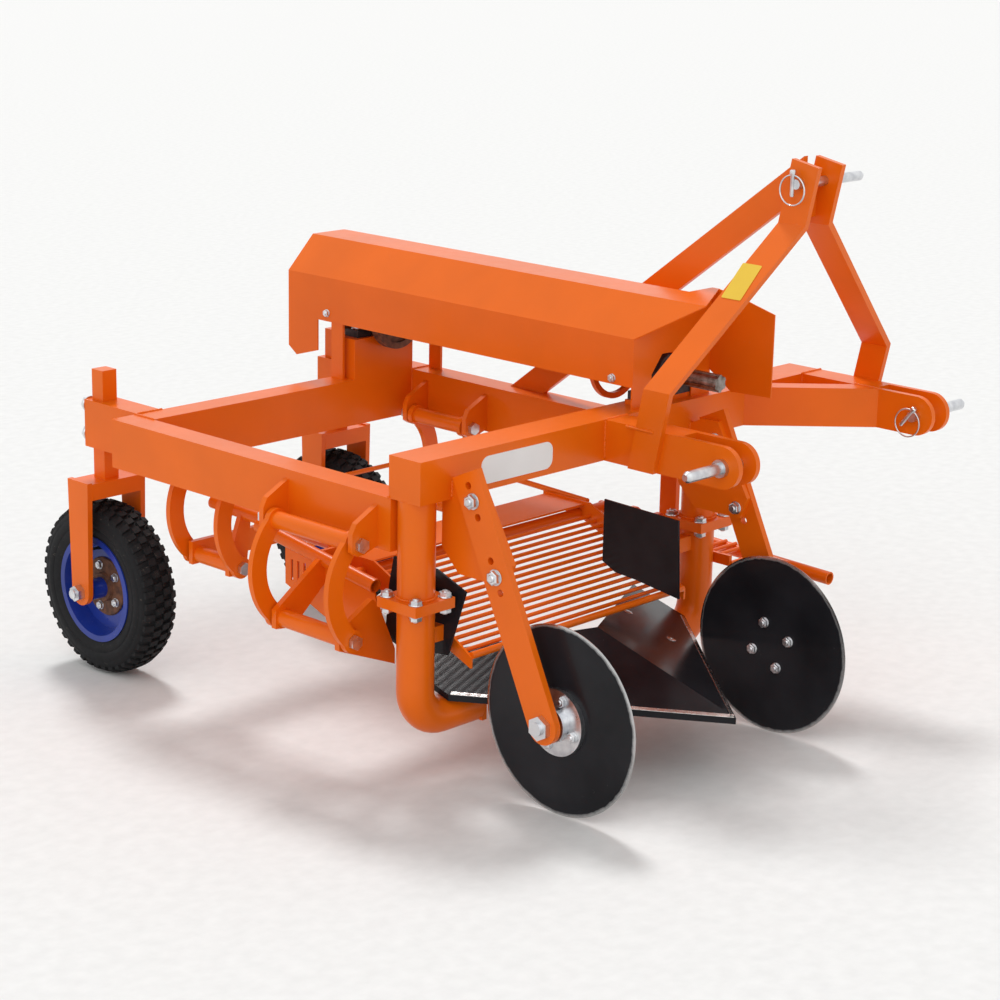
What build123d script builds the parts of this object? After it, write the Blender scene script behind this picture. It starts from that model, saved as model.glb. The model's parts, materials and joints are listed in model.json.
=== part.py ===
"""Single row potato digger with a PTO driven riddle. Millimetres, Z up, X across, -Y forward.

Everything is laid out with the machine level: X from the outer face of the right side beam,
Y from the rear face of the front beam, Z from the ground under the wheels. At the end the whole
machine is laid down on its wheels and discs and set over the middle of its own outline.
"""

import os
from math import asin, atan2, cos, degrees, radians, sin, sqrt

from build123d import *

os.makedirs("parts", exist_ok=True)

# ---- frame --------------------------------------------------------------------------------
FRAME_WIDTH = 846
FRAME_LENGTH = 806
BEAM_SIDE = 80
SIDE_BEAM_WIDTH = 60
SIDE_BEAM_HEIGHT = 100
SIDE_BEAM_TOP = 593
FRONT_BEAM_LENGTH = FRAME_WIDTH + 329
FRAME_MID = FRAME_WIDTH / 2
FRONT_BEAM_TOP = SIDE_BEAM_TOP + BEAM_SIDE
SIDE_BEAM_BOTTOM = SIDE_BEAM_TOP - SIDE_BEAM_HEIGHT
REAR_FACE = FRAME_LENGTH - SIDE_BEAM_WIDTH

# ---- three point hitch ----------------------------------------------------------------------
HITCH_MID = FRAME_WIDTH - 12.2
ARM_OUTER = 341.5
ARM_WIDTH = 63
CLEVIS_PLATE = 12
CLEVIS_END_R = 40
LOWER_PIN_Y = -364
LOWER_PIN_Z = SIDE_BEAM_TOP + BEAM_SIDE / 2
LOWER_PIN_R = 11
LOWER_PIN_REACH = 106
ARM_SOLID_END = -262
MAST_BAR_WIDTH = 61
MAST_BAR_THICK = 12
MAST_TOP = 1158
MAST_GAP = 63.6
MAST_BEND_LOW = 752
MAST_BEND_HIGH = 1040
MAST_FOOT_Y = -180
MAST_LEAN = 11.6
TOP_PIN_Z = 1119
TOP_PIN_R = 9.5
BRACE_WIDTH = 58
BRACE_THICK = 12

# ---- drive ----------------------------------------------------------------------------------
SHAFT_X = FRAME_WIDTH - 134
SHAFT_Z = 727
SHAFT_R = 20
STUB_R = 17.5
SHAFT_REAR = FRAME_LENGTH + 62
STUB_END = -180
STUB_REAR = -72
COVER_RIGHT = SHAFT_X - 122
COVER_LEFT = SHAFT_X + 115.8
COVER_FRONT = -61
COVER_REAR = FRAME_LENGTH + 131
HOOD_END = -176
HOOD_LEFT_END = -75
COVER_EAVE = 812
COVER_TOP = 885
COVER_SKIRT = 716
SHEET = 3
ECCENTRIC_THROW = 12
ECCENTRIC_R = 33
STRAP_Y = 90
STRAP_OUTER_R = 74

# ---- wheels -----------------------------------------------------------------------------------
WHEEL_X = 97
WHEEL_Y = FRAME_LENGTH + 149
WHEEL_Z = 188
TYRE_R = 186
TYRE_WIDTH = 90
RIM_R = 114.5
AXLE_R = 10
FORK_HALF = 75
FORK_PLATE = 12
POST_SIDE = 36

# ---- share and its legs -----------------------------------------------------------------------
SHARE_MID = FRAME_MID + 13
LEG_X = 34
LEG_Y = -38
LEG_R = 35
LEG_FLANGE_Z = 400
LEG_FLANGE = 100
ELBOW_Z = 205 - LEG_R
ELBOW_END = 184
SHARE_PLATE = 12
DEFLECTOR_X = 98
LEFT_DEFLECTOR_X = SHARE_MID + 185
DEFLECTOR_SHEET = 4

# ---- discs ------------------------------------------------------------------------------------
DISC_X = 112
DISC_Y = -323
DISC_Z = 228
DISC_R = 177
DISC_THICK = 4
SPINDLE_R = 12.5
DISC_ARM_WIDTH = 66
DISC_ARM_THICK = 13

# ---- riddle and its hangers -------------------------------------------------------------------
HANGER_Z = 507
LINK_LENGTH = 187
FRONT_HANGER_X = -42
REAR_HANGER_X = 106
LEFT_HANGER_X = FRAME_WIDTH - FRONT_HANGER_X
REAR_LEFT_X = FRAME_WIDTH - REAR_HANGER_X
LINK_BOW = 45
LINK_PLATE = 12
LINK_TUBE_R = 17
PIN_R = 8
SIDE_GAP = 5
FRONT_LINK = (45, 265)
REAR_LINK = (530, 690)
LEFT_LINK = (45, 125)
LEFT_LUGS = (40, 105)
FRONT_RAIL_X = 64
REAR_RAIL_X = 133
LEFT_RAIL_X = FRAME_WIDTH - 38
LEFT_ROD_X = FRAME_WIDTH - 106
RAIL_R = 13.5
FLOOR_SIDE = 120
BAR_R = 4
BAR_PITCH = 16
BAR_COUNT = 16
FIRST_BAR_Y = -84
FLOOR_LEFT = FRAME_WIDTH - 120
EDGE_SHEET = 5

# ---- clearances -------------------------------------------------------------------------------
RUN = 0.05
SLIP = 0.3

HIGHEST = 3000
LOWER_PIVOT_Z = HANGER_Z - LINK_LENGTH


# ---- small helpers ----------------------------------------------------------------------------
def block(x0, x1, y0, y1, z0, z1):
    """A box between two corners."""
    centre = Pos((x0 + x1) / 2, (y0 + y1) / 2, (z0 + z1) / 2)
    return centre * Box(abs(x1 - x0), abs(y1 - y0), abs(z1 - z0))


def bar(start, end, radius):
    """A round bar between two points."""
    start = Vector(*start)
    run = Vector(*end) - start
    return extrude(Plane(origin=start, z_dir=run) * Circle(radius), run.length)


def cyl_x(y, z, radius, x0, x1):
    return bar((x0, y, z), (x1, y, z), radius)


def cyl_y(x, z, radius, y0, y1):
    return bar((x, y0, z), (x, y1, z), radius)


def cyl_z(x, y, radius, z0, z1):
    return bar((x, y, z0), (x, y, z1), radius)


def hex_y(x, z, across, y0, y1):
    """A hexagon along Y, for bolt heads and nuts."""
    face = Plane(origin=(x, y0, z), z_dir=(0, 1, 0)) * RegularPolygon(across / sqrt(3), 6)
    return extrude(face, y1 - y0)


def hex_x(y, z, across, x0, x1):
    face = Plane(origin=(x0, y, z), z_dir=(1, 0, 0)) * RegularPolygon(across / sqrt(3), 6)
    return extrude(face, x1 - x0)


def plate_x(points, x0, x1):
    """A plate cut to (y, z) points, its faces square to X."""
    face = Plane(origin=(x0, 0, 0), x_dir=(0, 1, 0), z_dir=(1, 0, 0)) * Polygon(*points, align=None)
    return extrude(face, x1 - x0, dir=(1, 0, 0))


def plate_y(points, y0, y1):
    """A plate cut to (x, z) points, its faces square to Y."""
    face = Plane(origin=(0, y1, 0), x_dir=(1, 0, 0), z_dir=(0, -1, 0)) * Polygon(*points, align=None)
    return extrude(face, y1 - y0, dir=(0, -1, 0))


def plate_z(points, z0, z1):
    """A plate cut to (x, y) points, lying flat."""
    face = Plane.XY.offset(z0) * Polygon(*points, align=None)
    return extrude(face, z1 - z0, dir=(0, 0, 1))


def across(shape, middle):
    """The same shape on the other side of a middle plane."""
    return mirror(shape, Plane(origin=(middle, 0, 0), z_dir=(1, 0, 0)))


nodes = {}


def keep(name, *shapes):
    """One node: a single solid, or like pieces that sit on the same body."""
    nodes[name] = [solid for shape in shapes for solid in shape.solids()]


# ---- frame beams ------------------------------------------------------------------------------
right_leg_hole = cyl_z(LEG_X, LEG_Y, LEG_R, 0, SIDE_BEAM_TOP)
left_leg_x = 2 * SHARE_MID - LEG_X
left_leg_hole = cyl_z(left_leg_x, LEG_Y, LEG_R, 0, SIDE_BEAM_TOP)
beam_z = (SIDE_BEAM_BOTTOM, SIDE_BEAM_TOP)

keep("front_beam", block(0, FRONT_BEAM_LENGTH, -BEAM_SIDE, 0, SIDE_BEAM_TOP, FRONT_BEAM_TOP))
right_beam = block(0, SIDE_BEAM_WIDTH, -5, FRAME_LENGTH, *beam_z) - right_leg_hole
left_beam = block(FRAME_WIDTH - SIDE_BEAM_WIDTH, FRAME_WIDTH, -5, REAR_FACE, *beam_z) - left_leg_hole
keep("side_beams", right_beam, left_beam)
keep("rear_beam", block(SIDE_BEAM_WIDTH, FRAME_WIDTH, REAR_FACE, FRAME_LENGTH, *beam_z))

# ---- hitch arms, their corner tube and the mast -----------------------------------------------
arm_left_out = HITCH_MID + ARM_OUTER
arm_left_in = arm_left_out - ARM_WIDTH
cheek = [
    (ARM_SOLID_END + 1, SIDE_BEAM_TOP),
    (ARM_SOLID_END + 1, FRONT_BEAM_TOP),
    (LOWER_PIN_Y, FRONT_BEAM_TOP),
    (LOWER_PIN_Y, SIDE_BEAM_TOP),
]
left_arm = block(arm_left_in, arm_left_out, ARM_SOLID_END, -BEAM_SIDE, SIDE_BEAM_TOP, FRONT_BEAM_TOP)
for cheek_x in (arm_left_in, arm_left_out - CLEVIS_PLATE):
    left_arm += plate_x(cheek, cheek_x, cheek_x + CLEVIS_PLATE)
    left_arm += cyl_x(LOWER_PIN_Y, LOWER_PIN_Z, CLEVIS_END_R, cheek_x, cheek_x + CLEVIS_PLATE)
left_arm -= cyl_x(LOWER_PIN_Y, LOWER_PIN_Z, LOWER_PIN_R, arm_left_in - 1, arm_left_out + 1)
keep("hitch_arms", across(left_arm, HITCH_MID), left_arm)

corner = [
    (FRAME_WIDTH + 74, -BEAM_SIDE),
    (arm_left_in, -272.6),
    (arm_left_in, -216),
    (FRAME_WIDTH + 130.6, -BEAM_SIDE),
]
keep("corner_tube", plate_z(corner, SIDE_BEAM_TOP, FRONT_BEAM_TOP))


def hitch_pin(y, z, radius, x0, x1, collar_x):
    """A hitch pin with its shoulder and a rounded nose at x1."""
    pin = cyl_x(y, z, radius, x0, x1 - 8)
    nose = Plane(origin=(x1 - 8, y, z), z_dir=(1, 0, 0)) * Circle(radius)
    pin += extrude(nose, 8, taper=30)
    return pin + cyl_x(y, z, radius + 6, collar_x, collar_x + 10)


pin_x0 = arm_left_in - 14
left_pin = hitch_pin(
    LOWER_PIN_Y, LOWER_PIN_Z, LOWER_PIN_R, pin_x0, arm_left_out + LOWER_PIN_REACH, arm_left_out
)

lean = sin(radians(MAST_LEAN)) / cos(radians(MAST_LEAN))


def mast_y(z):
    """Middle line of the mast bars seen from the side."""
    return MAST_FOOT_Y - lean * (z - SIDE_BEAM_TOP)


half_side = MAST_BAR_WIDTH / 2 / cos(radians(MAST_LEAN))
side_view = [
    (mast_y(SIDE_BEAM_TOP) - half_side, SIDE_BEAM_TOP),
    (mast_y(SIDE_BEAM_TOP) + half_side, SIDE_BEAM_TOP),
    (mast_y(MAST_TOP) + half_side, MAST_TOP + 6),
    (mast_y(MAST_TOP) - half_side, MAST_TOP - 6),
]
plate_out = HITCH_MID + MAST_GAP / 2 + MAST_BAR_THICK
foot_out = arm_left_out + MAST_BAR_THICK
slope_run = foot_out - plate_out
slope_rise = MAST_BEND_HIGH - MAST_BEND_LOW
slope_shift = MAST_BAR_THICK * (sqrt(slope_run**2 + slope_rise**2) - slope_rise) / slope_run
front_view = [
    (foot_out - MAST_BAR_THICK, SIDE_BEAM_TOP - 10),
    (foot_out, SIDE_BEAM_TOP - 10),
    (foot_out, MAST_BEND_LOW),
    (plate_out, MAST_BEND_HIGH),
    (plate_out, MAST_TOP + 20),
    (plate_out - MAST_BAR_THICK, MAST_TOP + 20),
    (plate_out - MAST_BAR_THICK, MAST_BEND_HIGH - slope_shift),
    (foot_out - MAST_BAR_THICK, MAST_BEND_LOW - slope_shift),
]
left_mast = plate_y(front_view, -500, 0) & plate_x(side_view, HITCH_MID, 2 * HITCH_MID)
top_pin_y = mast_y(TOP_PIN_Z)
left_mast -= cyl_x(top_pin_y, TOP_PIN_Z, TOP_PIN_R, HITCH_MID, 2 * HITCH_MID)
right_mast = across(left_mast, HITCH_MID)
keep("mast_legs", right_mast, left_mast)

right_plate_out = 2 * HITCH_MID - plate_out
top_pin = hitch_pin(
    top_pin_y, TOP_PIN_Z, TOP_PIN_R, right_plate_out - 16, plate_out + 108, plate_out
)
keep("hitch_pins", across(left_pin, HITCH_MID), left_pin, top_pin)

brace_angle = atan2(0.765, 1)
brace_edge = 963
brace_dz = BRACE_WIDTH / cos(brace_angle)
tie_y = mast_y(1090) + half_side - 14


def brace_z(y):
    """Upper edge of the mast brace seen from the side."""
    return brace_edge - 0.765 * y


brace_side = [
    (tie_y, brace_z(tie_y)),
    (tie_y, brace_z(tie_y) - brace_dz),
    ((brace_edge - brace_dz - SIDE_BEAM_TOP) / 0.765, SIDE_BEAM_TOP),
    ((brace_edge - SIDE_BEAM_TOP) / 0.765, SIDE_BEAM_TOP),
]
brace_x = HITCH_MID - BRACE_THICK / 2
brace = plate_x(brace_side, brace_x, brace_x + BRACE_THICK)
brace += block(
    HITCH_MID - MAST_GAP / 2, HITCH_MID + MAST_GAP / 2, tie_y - 6, tie_y + 4, 1048, 1132
)
keep("mast_brace", brace)

# ---- drive shaft, bearings and cover ----------------------------------------------------------
front_block_y = (-56, -16)
rear_block_y = (REAR_FACE + 10, REAR_FACE + 50)
seat_top = 682
seats = [
    block(SHAFT_X - 90, SHAFT_X + 90, front_block_y[0], front_block_y[1], FRONT_BEAM_TOP, seat_top),
    block(COVER_RIGHT + 22, SHAFT_X + 74, REAR_FACE, FRAME_LENGTH, SIDE_BEAM_TOP, seat_top),
]
keep("bearing_seats", *seats)


def pillow_block(y0, y1):
    """A cast bearing block with two feet and a round housing."""
    body = block(SHAFT_X - 82, SHAFT_X + 82, y0, y1, seat_top, seat_top + 16)
    body += cyl_y(SHAFT_X, SHAFT_Z, 40, y0, y1)
    body += block(SHAFT_X - 34, SHAFT_X + 34, y0, y1, seat_top, SHAFT_Z)
    return body - cyl_y(SHAFT_X, SHAFT_Z, SHAFT_R + RUN, y0 - 1, y1 + 1)


keep("bearing_blocks", pillow_block(*front_block_y), pillow_block(*rear_block_y))

shaft = cyl_y(SHAFT_X, SHAFT_Z, STUB_R, STUB_END, STUB_REAR + 1)
shaft += cyl_y(SHAFT_X, SHAFT_Z, SHAFT_R, STUB_REAR, SHAFT_REAR)
shaft += cyl_y(SHAFT_X, SHAFT_Z, 27, -16 + SIDE_GAP, 8)
shaft += cyl_y(SHAFT_X + ECCENTRIC_THROW, SHAFT_Z, ECCENTRIC_R, STRAP_Y - 14, STRAP_Y + 14)
keep("drive_shaft", shaft)


def shaft_disc(y0, y1, radius, hub_y0, hub_y1):
    """A rimmed balance disc on the shaft."""
    disc = cyl_y(SHAFT_X, SHAFT_Z, radius, y0, y1)
    groove = cyl_y(SHAFT_X, SHAFT_Z, radius - 14, y0, y0 + (y1 - y0) / 3)
    disc -= groove
    disc += cyl_y(SHAFT_X, SHAFT_Z, 30, hub_y0, hub_y1)
    return disc - cyl_y(SHAFT_X, SHAFT_Z, SHAFT_R, hub_y0 - 1, hub_y1 + 1)


inner_disc_y = REAR_FACE - 34
outer_disc_y = FRAME_LENGTH + 28
inner_disc = shaft_disc(inner_disc_y, inner_disc_y + 18, 72, inner_disc_y - 8, inner_disc_y + 26)
outer_disc = shaft_disc(outer_disc_y, outer_disc_y + 20, 66, outer_disc_y - 8, outer_disc_y + 28)
keep("shaft_discs", inner_disc, outer_disc)

mid_x = (COVER_RIGHT + COVER_LEFT) / 2


def cover_section(inset, low):
    """The cover's cross section, open below."""
    flat = 47 - 0.4 * inset
    return [
        (COVER_RIGHT + inset, low),
        (COVER_LEFT - inset, low),
        (COVER_LEFT - inset, COVER_EAVE - 0.4 * inset),
        (mid_x + flat, COVER_TOP - inset),
        (mid_x - flat, COVER_TOP - inset),
        (COVER_RIGHT + inset, COVER_EAVE - 0.4 * inset),
    ]


cover = plate_y(cover_section(0, COVER_SKIRT), COVER_FRONT, COVER_REAR)
cover -= plate_y(cover_section(SHEET, COVER_SKIRT - 1), COVER_FRONT - 1, COVER_REAR + 1)
roof_right = mid_x - 47
panel = [
    (COVER_RIGHT, FRONT_BEAM_TOP),
    (mid_x - 62, FRONT_BEAM_TOP),
    (mid_x - 62, 735),
    (mid_x - 32, 772),
    (mid_x + 32, 772),
    (mid_x + 62, 735),
    (mid_x + 62, FRONT_BEAM_TOP),
    (COVER_LEFT, FRONT_BEAM_TOP),
    (COVER_LEFT, COVER_TOP),
    (roof_right, COVER_TOP),
    (COVER_RIGHT, COVER_EAVE),
]
cover += plate_y(panel, COVER_FRONT, COVER_FRONT + SHEET)
hood = [
    (roof_right, COVER_FRONT + 1),
    (COVER_LEFT, COVER_FRONT + 1),
    (COVER_LEFT, HOOD_LEFT_END),
    (roof_right, HOOD_END),
]
cover += plate_z(hood, COVER_TOP - SHEET, COVER_TOP)
facet_points = [
    (COVER_RIGHT, COVER_FRONT + 1, COVER_EAVE),
    (roof_right, COVER_FRONT + 1, COVER_TOP),
    (roof_right, HOOD_END, COVER_TOP),
]
facet = make_face(Polyline(*facet_points, close=True))
cover += extrude(facet, SHEET, dir=(COVER_TOP - COVER_EAVE, 0, COVER_RIGHT - roof_right))
guard = [
    (COVER_FRONT + 1, COVER_TOP),
    (HOOD_LEFT_END, COVER_TOP),
    (-147, 871),
    (-217, 853),
    (-217, 688),
    (-118, 684),
    (COVER_FRONT + 1, 722),
]
guard_left = COVER_LEFT - SHEET
cover += plate_x(guard, guard_left, COVER_LEFT)
tail = [
    (COVER_REAR - 95, COVER_SKIRT + 1),
    (COVER_REAR - 95, 647),
    (COVER_REAR - 26, 627),
    (COVER_REAR, 645),
    (COVER_REAR, 717),
]
cover += plate_x(tail, COVER_RIGHT, COVER_RIGHT + SHEET)
cover += plate_x(tail, guard_left, COVER_LEFT)
rod_gap_end = FRAME_LENGTH - 106
cover -= block(guard_left - 1, COVER_LEFT + 1, COVER_FRONT + SHEET, rod_gap_end, COVER_SKIRT - 1, 775)
keep("drive_cover", cover)

stay_in = COVER_RIGHT + SHEET
stays = [
    block(stay_in, stay_in + 6, FRAME_LENGTH - 41, FRAME_LENGTH - 5, SIDE_BEAM_TOP, 748),
    block(COVER_LEFT, COVER_LEFT + 6, rod_gap_end, rod_gap_end + 36, SIDE_BEAM_TOP, 760),
]
keep("cover_stays", *stays)

# ---- share legs -------------------------------------------------------------------------------
flange = LEG_FLANGE / 2


def flange_plate(z0, z1):
    return block(LEG_X - flange, LEG_X + flange, LEG_Y - flange, LEG_Y + flange, z0, z1)


upper_leg = cyl_z(LEG_X, LEG_Y, LEG_R, LEG_FLANGE_Z, SIDE_BEAM_TOP)
upper_leg += flange_plate(LEG_FLANGE_Z, LEG_FLANGE_Z + 10)
keep("share_legs_upper", upper_leg, across(upper_leg, SHARE_MID))

elbow_r = 62
elbow_ring = Plane(origin=(LEG_X, LEG_Y, ELBOW_Z + elbow_r), z_dir=(0, 0, 1)) * Circle(LEG_R)
elbow_axis = Axis((LEG_X + elbow_r, LEG_Y, ELBOW_Z + elbow_r), (0, -1, 0))
lower_leg = cyl_z(LEG_X, LEG_Y, LEG_R, ELBOW_Z + elbow_r, LEG_FLANGE_Z)
lower_leg += revolve(elbow_ring, elbow_axis, revolution_arc=90)
lower_leg += cyl_x(LEG_Y, ELBOW_Z, LEG_R, LEG_X + elbow_r, ELBOW_END)
lower_leg += flange_plate(LEG_FLANGE_Z - 10, LEG_FLANGE_Z)
tab_x = DEFLECTOR_X - DEFLECTOR_SHEET
right_lower = lower_leg + block(LEG_X + LEG_R - 5, tab_x, LEG_Y - 12, LEG_Y + 12, 316, 346)
left_lower = across(lower_leg, SHARE_MID)
left_lower += block(LEFT_DEFLECTOR_X, left_leg_x - LEG_R + 5, LEG_Y - 12, LEG_Y + 12, 345, 375)
keep("share_legs_lower", right_lower, left_lower)

guard_x = left_leg_x + 122
guard_pipe = bar((guard_x, -287, 306), (guard_x, 20, 314), RAIL_R)
guard_bore = bar((guard_x, -287, 306), (guard_x, 20, 314), RAIL_R - 3)
side_guard = guard_pipe + block(left_leg_x + 32, left_leg_x + 40, -100, 4, 308, 330)
side_guard += block(left_leg_x + 36, left_leg_x + 112, -103, -98, 258, 318)
for rod_y in (-20, -46, -72):
    side_guard += cyl_x(rod_y, 327, BAR_R, left_leg_x + 38, guard_x)
side_guard -= guard_bore
side_guard -= cyl_z(left_leg_x, LEG_Y, LEG_R, 0, LEG_FLANGE_Z)
keep("side_guard", side_guard)

# ---- share, carriers and deflectors -----------------------------------------------------------
ridge_rear = Vector(SHARE_MID, -125, 282)
tip = Vector(SHARE_MID, -468, 190)
wing_front = Vector(95, -64, 213)
wing_normal = (tip - wing_front).cross(ridge_rear - wing_front).normalized()


def on_wing(x, y, below=0):
    """A point on the right wing's upper face, or straight below it."""
    shift_x = (x - wing_front.X) * wing_normal.X
    shift_y = (y - wing_front.Y) * wing_normal.Y
    return (x, y, wing_front.Z - (shift_x + shift_y) / wing_normal.Z - below)


def wing_slab(outline, above, below):
    """A slab that follows the right wing, between two depths under its upper face."""
    upper = Polyline(*[on_wing(x, y, above) for x, y in outline], close=True)
    return extrude(make_face(upper), below - above, dir=(0, 0, -1))


wing = wing_slab([(SHARE_MID, -468), (SHARE_MID, -125), (98, 73), (95, -64)], 0, SHARE_PLATE)
keep("share", wing + across(wing, SHARE_MID))

carrier = wing_slab([(188, -70), (270, -90), (270, -40), (188, 0)], SHARE_PLATE, SHARE_PLATE + 10)
web_y = (LEG_Y - 28, LEG_Y + 28)
web_top = [on_wing(ELBOW_END, y, SHARE_PLATE + 5)[2] for y in web_y]
web_side = [
    (web_y[0], ELBOW_Z - 30),
    (web_y[1], ELBOW_Z - 30),
    (web_y[1], web_top[1]),
    (web_y[0], web_top[0]),
]
carrier += plate_x(web_side, ELBOW_END, ELBOW_END + 12)
keep("share_carriers", carrier, across(carrier, SHARE_MID))

right_deflector = [
    (83, 447),
    (-30, 447),
    (-105, 420),
    (-61, 289),
    (73, 276),
    (105, 285),
    (95, 390),
]
left_deflector = [
    (24, 472),
    (-167, 467),
    (-175, 310),
    (-67, 324),
    (-10, 328),
    (24, 344),
]
right_plate = plate_x(right_deflector, DEFLECTOR_X - DEFLECTOR_SHEET, DEFLECTOR_X)
left_plate = plate_x(left_deflector, LEFT_DEFLECTOR_X - DEFLECTOR_SHEET, LEFT_DEFLECTOR_X)
keep("deflectors", right_plate, left_plate)

# ---- disc brackets, arms and discs ------------------------------------------------------------
bracket_x = (80, 92)
bracket_side = [
    (-BEAM_SIDE, 625),
    (-BEAM_SIDE, SIDE_BEAM_TOP),
    (-56, SIDE_BEAM_TOP),
    (-56, 500),
    (-100, 457),
    (-215, 457),
    (-230, 500),
    (-150, 640),
    (-110, 640),
]
bracket = plate_x(bracket_side, *bracket_x)
disc_mid = SHARE_MID - 16
keep("disc_brackets", bracket, across(bracket, disc_mid))

arm_top = Vector(0, -123, 651)
arm_low = Vector(0, -330, 205)
arm_run = (arm_low - arm_top).normalized()
arm_side = Vector(0, -arm_run.Z, arm_run.Y) * (DISC_ARM_WIDTH / 2)
arm_end = Vector(0, DISC_Y, DISC_Z)
corners = [arm_top + arm_side, arm_top - arm_side, arm_end - arm_side, arm_end + arm_side]
arm_x = (bracket_x[0] - DISC_ARM_THICK, bracket_x[0])
disc_arm = plate_x([(p.Y, p.Z) for p in corners], *arm_x)
disc_arm += cyl_x(DISC_Y, DISC_Z, DISC_ARM_WIDTH / 2, *arm_x)
for along in (23, 82, 162, 221):
    hole = arm_top + arm_run * along
    disc_arm -= cyl_x(hole.Y, hole.Z, 7, arm_x[0] - 1, arm_x[1] + 1)
hub_x = (arm_x[1] + SIDE_GAP, DISC_X)
disc_arm += cyl_x(DISC_Y, DISC_Z, SPINDLE_R, arm_x[0] - 18, DISC_X - 6)
disc_arm += hex_x(DISC_Y, DISC_Z, 40, arm_x[0] - 12, arm_x[0])
keep("disc_arms", disc_arm, across(disc_arm, disc_mid))

hub = cyl_x(DISC_Y, DISC_Z, 34, hub_x[0], DISC_X) + cyl_x(DISC_Y, DISC_Z, 62, DISC_X - 10, DISC_X)
hub -= cyl_x(DISC_Y, DISC_Z, SPINDLE_R + RUN, hub_x[0] - 1, DISC_X - 5)
disc = cyl_x(DISC_Y, DISC_Z, DISC_R, DISC_X, DISC_X + DISC_THICK)
disc = chamfer(disc.edges().filter_by(GeomType.CIRCLE), DISC_THICK / 2 - 0.6, 9)
keep("disc_hub_right", hub)
keep("disc_right", disc)
keep("disc_hub_left", across(hub, disc_mid))
keep("disc_left", across(disc, disc_mid))

# ---- wheels -----------------------------------------------------------------------------------
wheel_mid = FRAME_MID
post_half = POST_SIDE / 2
sleeve_half = 30
arm_tube = block(
    WHEEL_X - sleeve_half,
    WHEEL_X + sleeve_half,
    FRAME_LENGTH,
    WHEEL_Y - sleeve_half + 1,
    *beam_z,
)
sleeve = arm_tube + block(
    WHEEL_X - sleeve_half,
    WHEEL_X + sleeve_half,
    WHEEL_Y - sleeve_half,
    WHEEL_Y + sleeve_half,
    *beam_z,
)
slot = post_half + SLIP
sleeve -= block(
    WHEEL_X - slot, WHEEL_X + slot, WHEEL_Y - slot, WHEEL_Y + slot, SIDE_BEAM_BOTTOM - 1, SIDE_BEAM_TOP + 1
)
keep("wheel_sleeves", sleeve, across(sleeve, wheel_mid))

fork_in = FORK_HALF - FORK_PLATE
fork_top = 427
fork = block(
    WHEEL_X - post_half,
    WHEEL_X + post_half,
    WHEEL_Y - post_half,
    WHEEL_Y + post_half,
    fork_top - 5,
    658,
)
fork += block(WHEEL_X - fork_in, WHEEL_X + fork_in, WHEEL_Y - 34, WHEEL_Y + 34, 392, fork_top)
fork_side = [
    (WHEEL_Y - 34, fork_top + 3),
    (WHEEL_Y + 34, fork_top + 3),
    (WHEEL_Y + 28, WHEEL_Z),
    (WHEEL_Y - 28, WHEEL_Z),
]
for plate_at in (WHEEL_X - FORK_HALF, WHEEL_X + fork_in):
    fork += plate_x(fork_side, plate_at, plate_at + FORK_PLATE)
    fork += cyl_x(WHEEL_Y, WHEEL_Z, 28, plate_at, plate_at + FORK_PLATE)
fork -= cyl_x(WHEEL_Y, WHEEL_Z, AXLE_R, WHEEL_X - 100, WHEEL_X + 100)
keep("wheel_forks", fork, across(fork, wheel_mid))

axle = cyl_x(WHEEL_Y, WHEEL_Z, AXLE_R, WHEEL_X - FORK_HALF - 22, WHEEL_X + FORK_HALF + 22)
axle += hex_x(WHEEL_Y, WHEEL_Z, 30, WHEEL_X - FORK_HALF - 16, WHEEL_X - FORK_HALF)
axle += hex_x(WHEEL_Y, WHEEL_Z, 30, WHEEL_X + FORK_HALF, WHEEL_X + FORK_HALF + 16)
keep("wheel_axles", axle, across(axle, wheel_mid))

half_tyre = TYRE_WIDTH / 2
wheel_axis = Axis((WHEEL_X, WHEEL_Y, WHEEL_Z), (1, 0, 0))
wheel_plane = Plane(origin=(WHEEL_X, WHEEL_Y, WHEEL_Z), x_dir=(1, 0, 0), z_dir=(0, -1, 0))
tyre_edge = [
    (-34, RIM_R - 9),
    (-37, RIM_R),
    (-half_tyre, RIM_R + 32),
    (-half_tyre + 5, TYRE_R - 14),
    (-24, TYRE_R - 2),
    (0, TYRE_R),
    (24, TYRE_R - 2),
    (half_tyre - 5, TYRE_R - 14),
    (half_tyre, RIM_R + 32),
    (37, RIM_R),
    (34, RIM_R - 9),
]
tyre = revolve(wheel_plane * Polygon(*tyre_edge, align=None), wheel_axis)
rim_edge = [
    (-38, RIM_R - 9),
    (-38, RIM_R),
    (-41, RIM_R),
    (-41, RIM_R - 13),
    (-20, RIM_R - 20),
    (-7, RIM_R - 24),
    (-7, 22),
    (-fork_in + 8, 22),
    (-fork_in + 8, AXLE_R + RUN),
    (fork_in - 8, AXLE_R + RUN),
    (fork_in - 8, 22),
    (3, 22),
    (3, RIM_R - 24),
    (20, RIM_R - 20),
    (41, RIM_R - 13),
    (41, RIM_R),
    (38, RIM_R),
    (38, RIM_R - 9),
]
rim = revolve(wheel_plane * Polygon(*rim_edge, align=None), wheel_axis)
keep("tyre_right", tyre)
keep("wheel_rim_right", rim)
keep("tyre_left", across(tyre, wheel_mid))
keep("wheel_rim_left", across(rim, wheel_mid))

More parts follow.
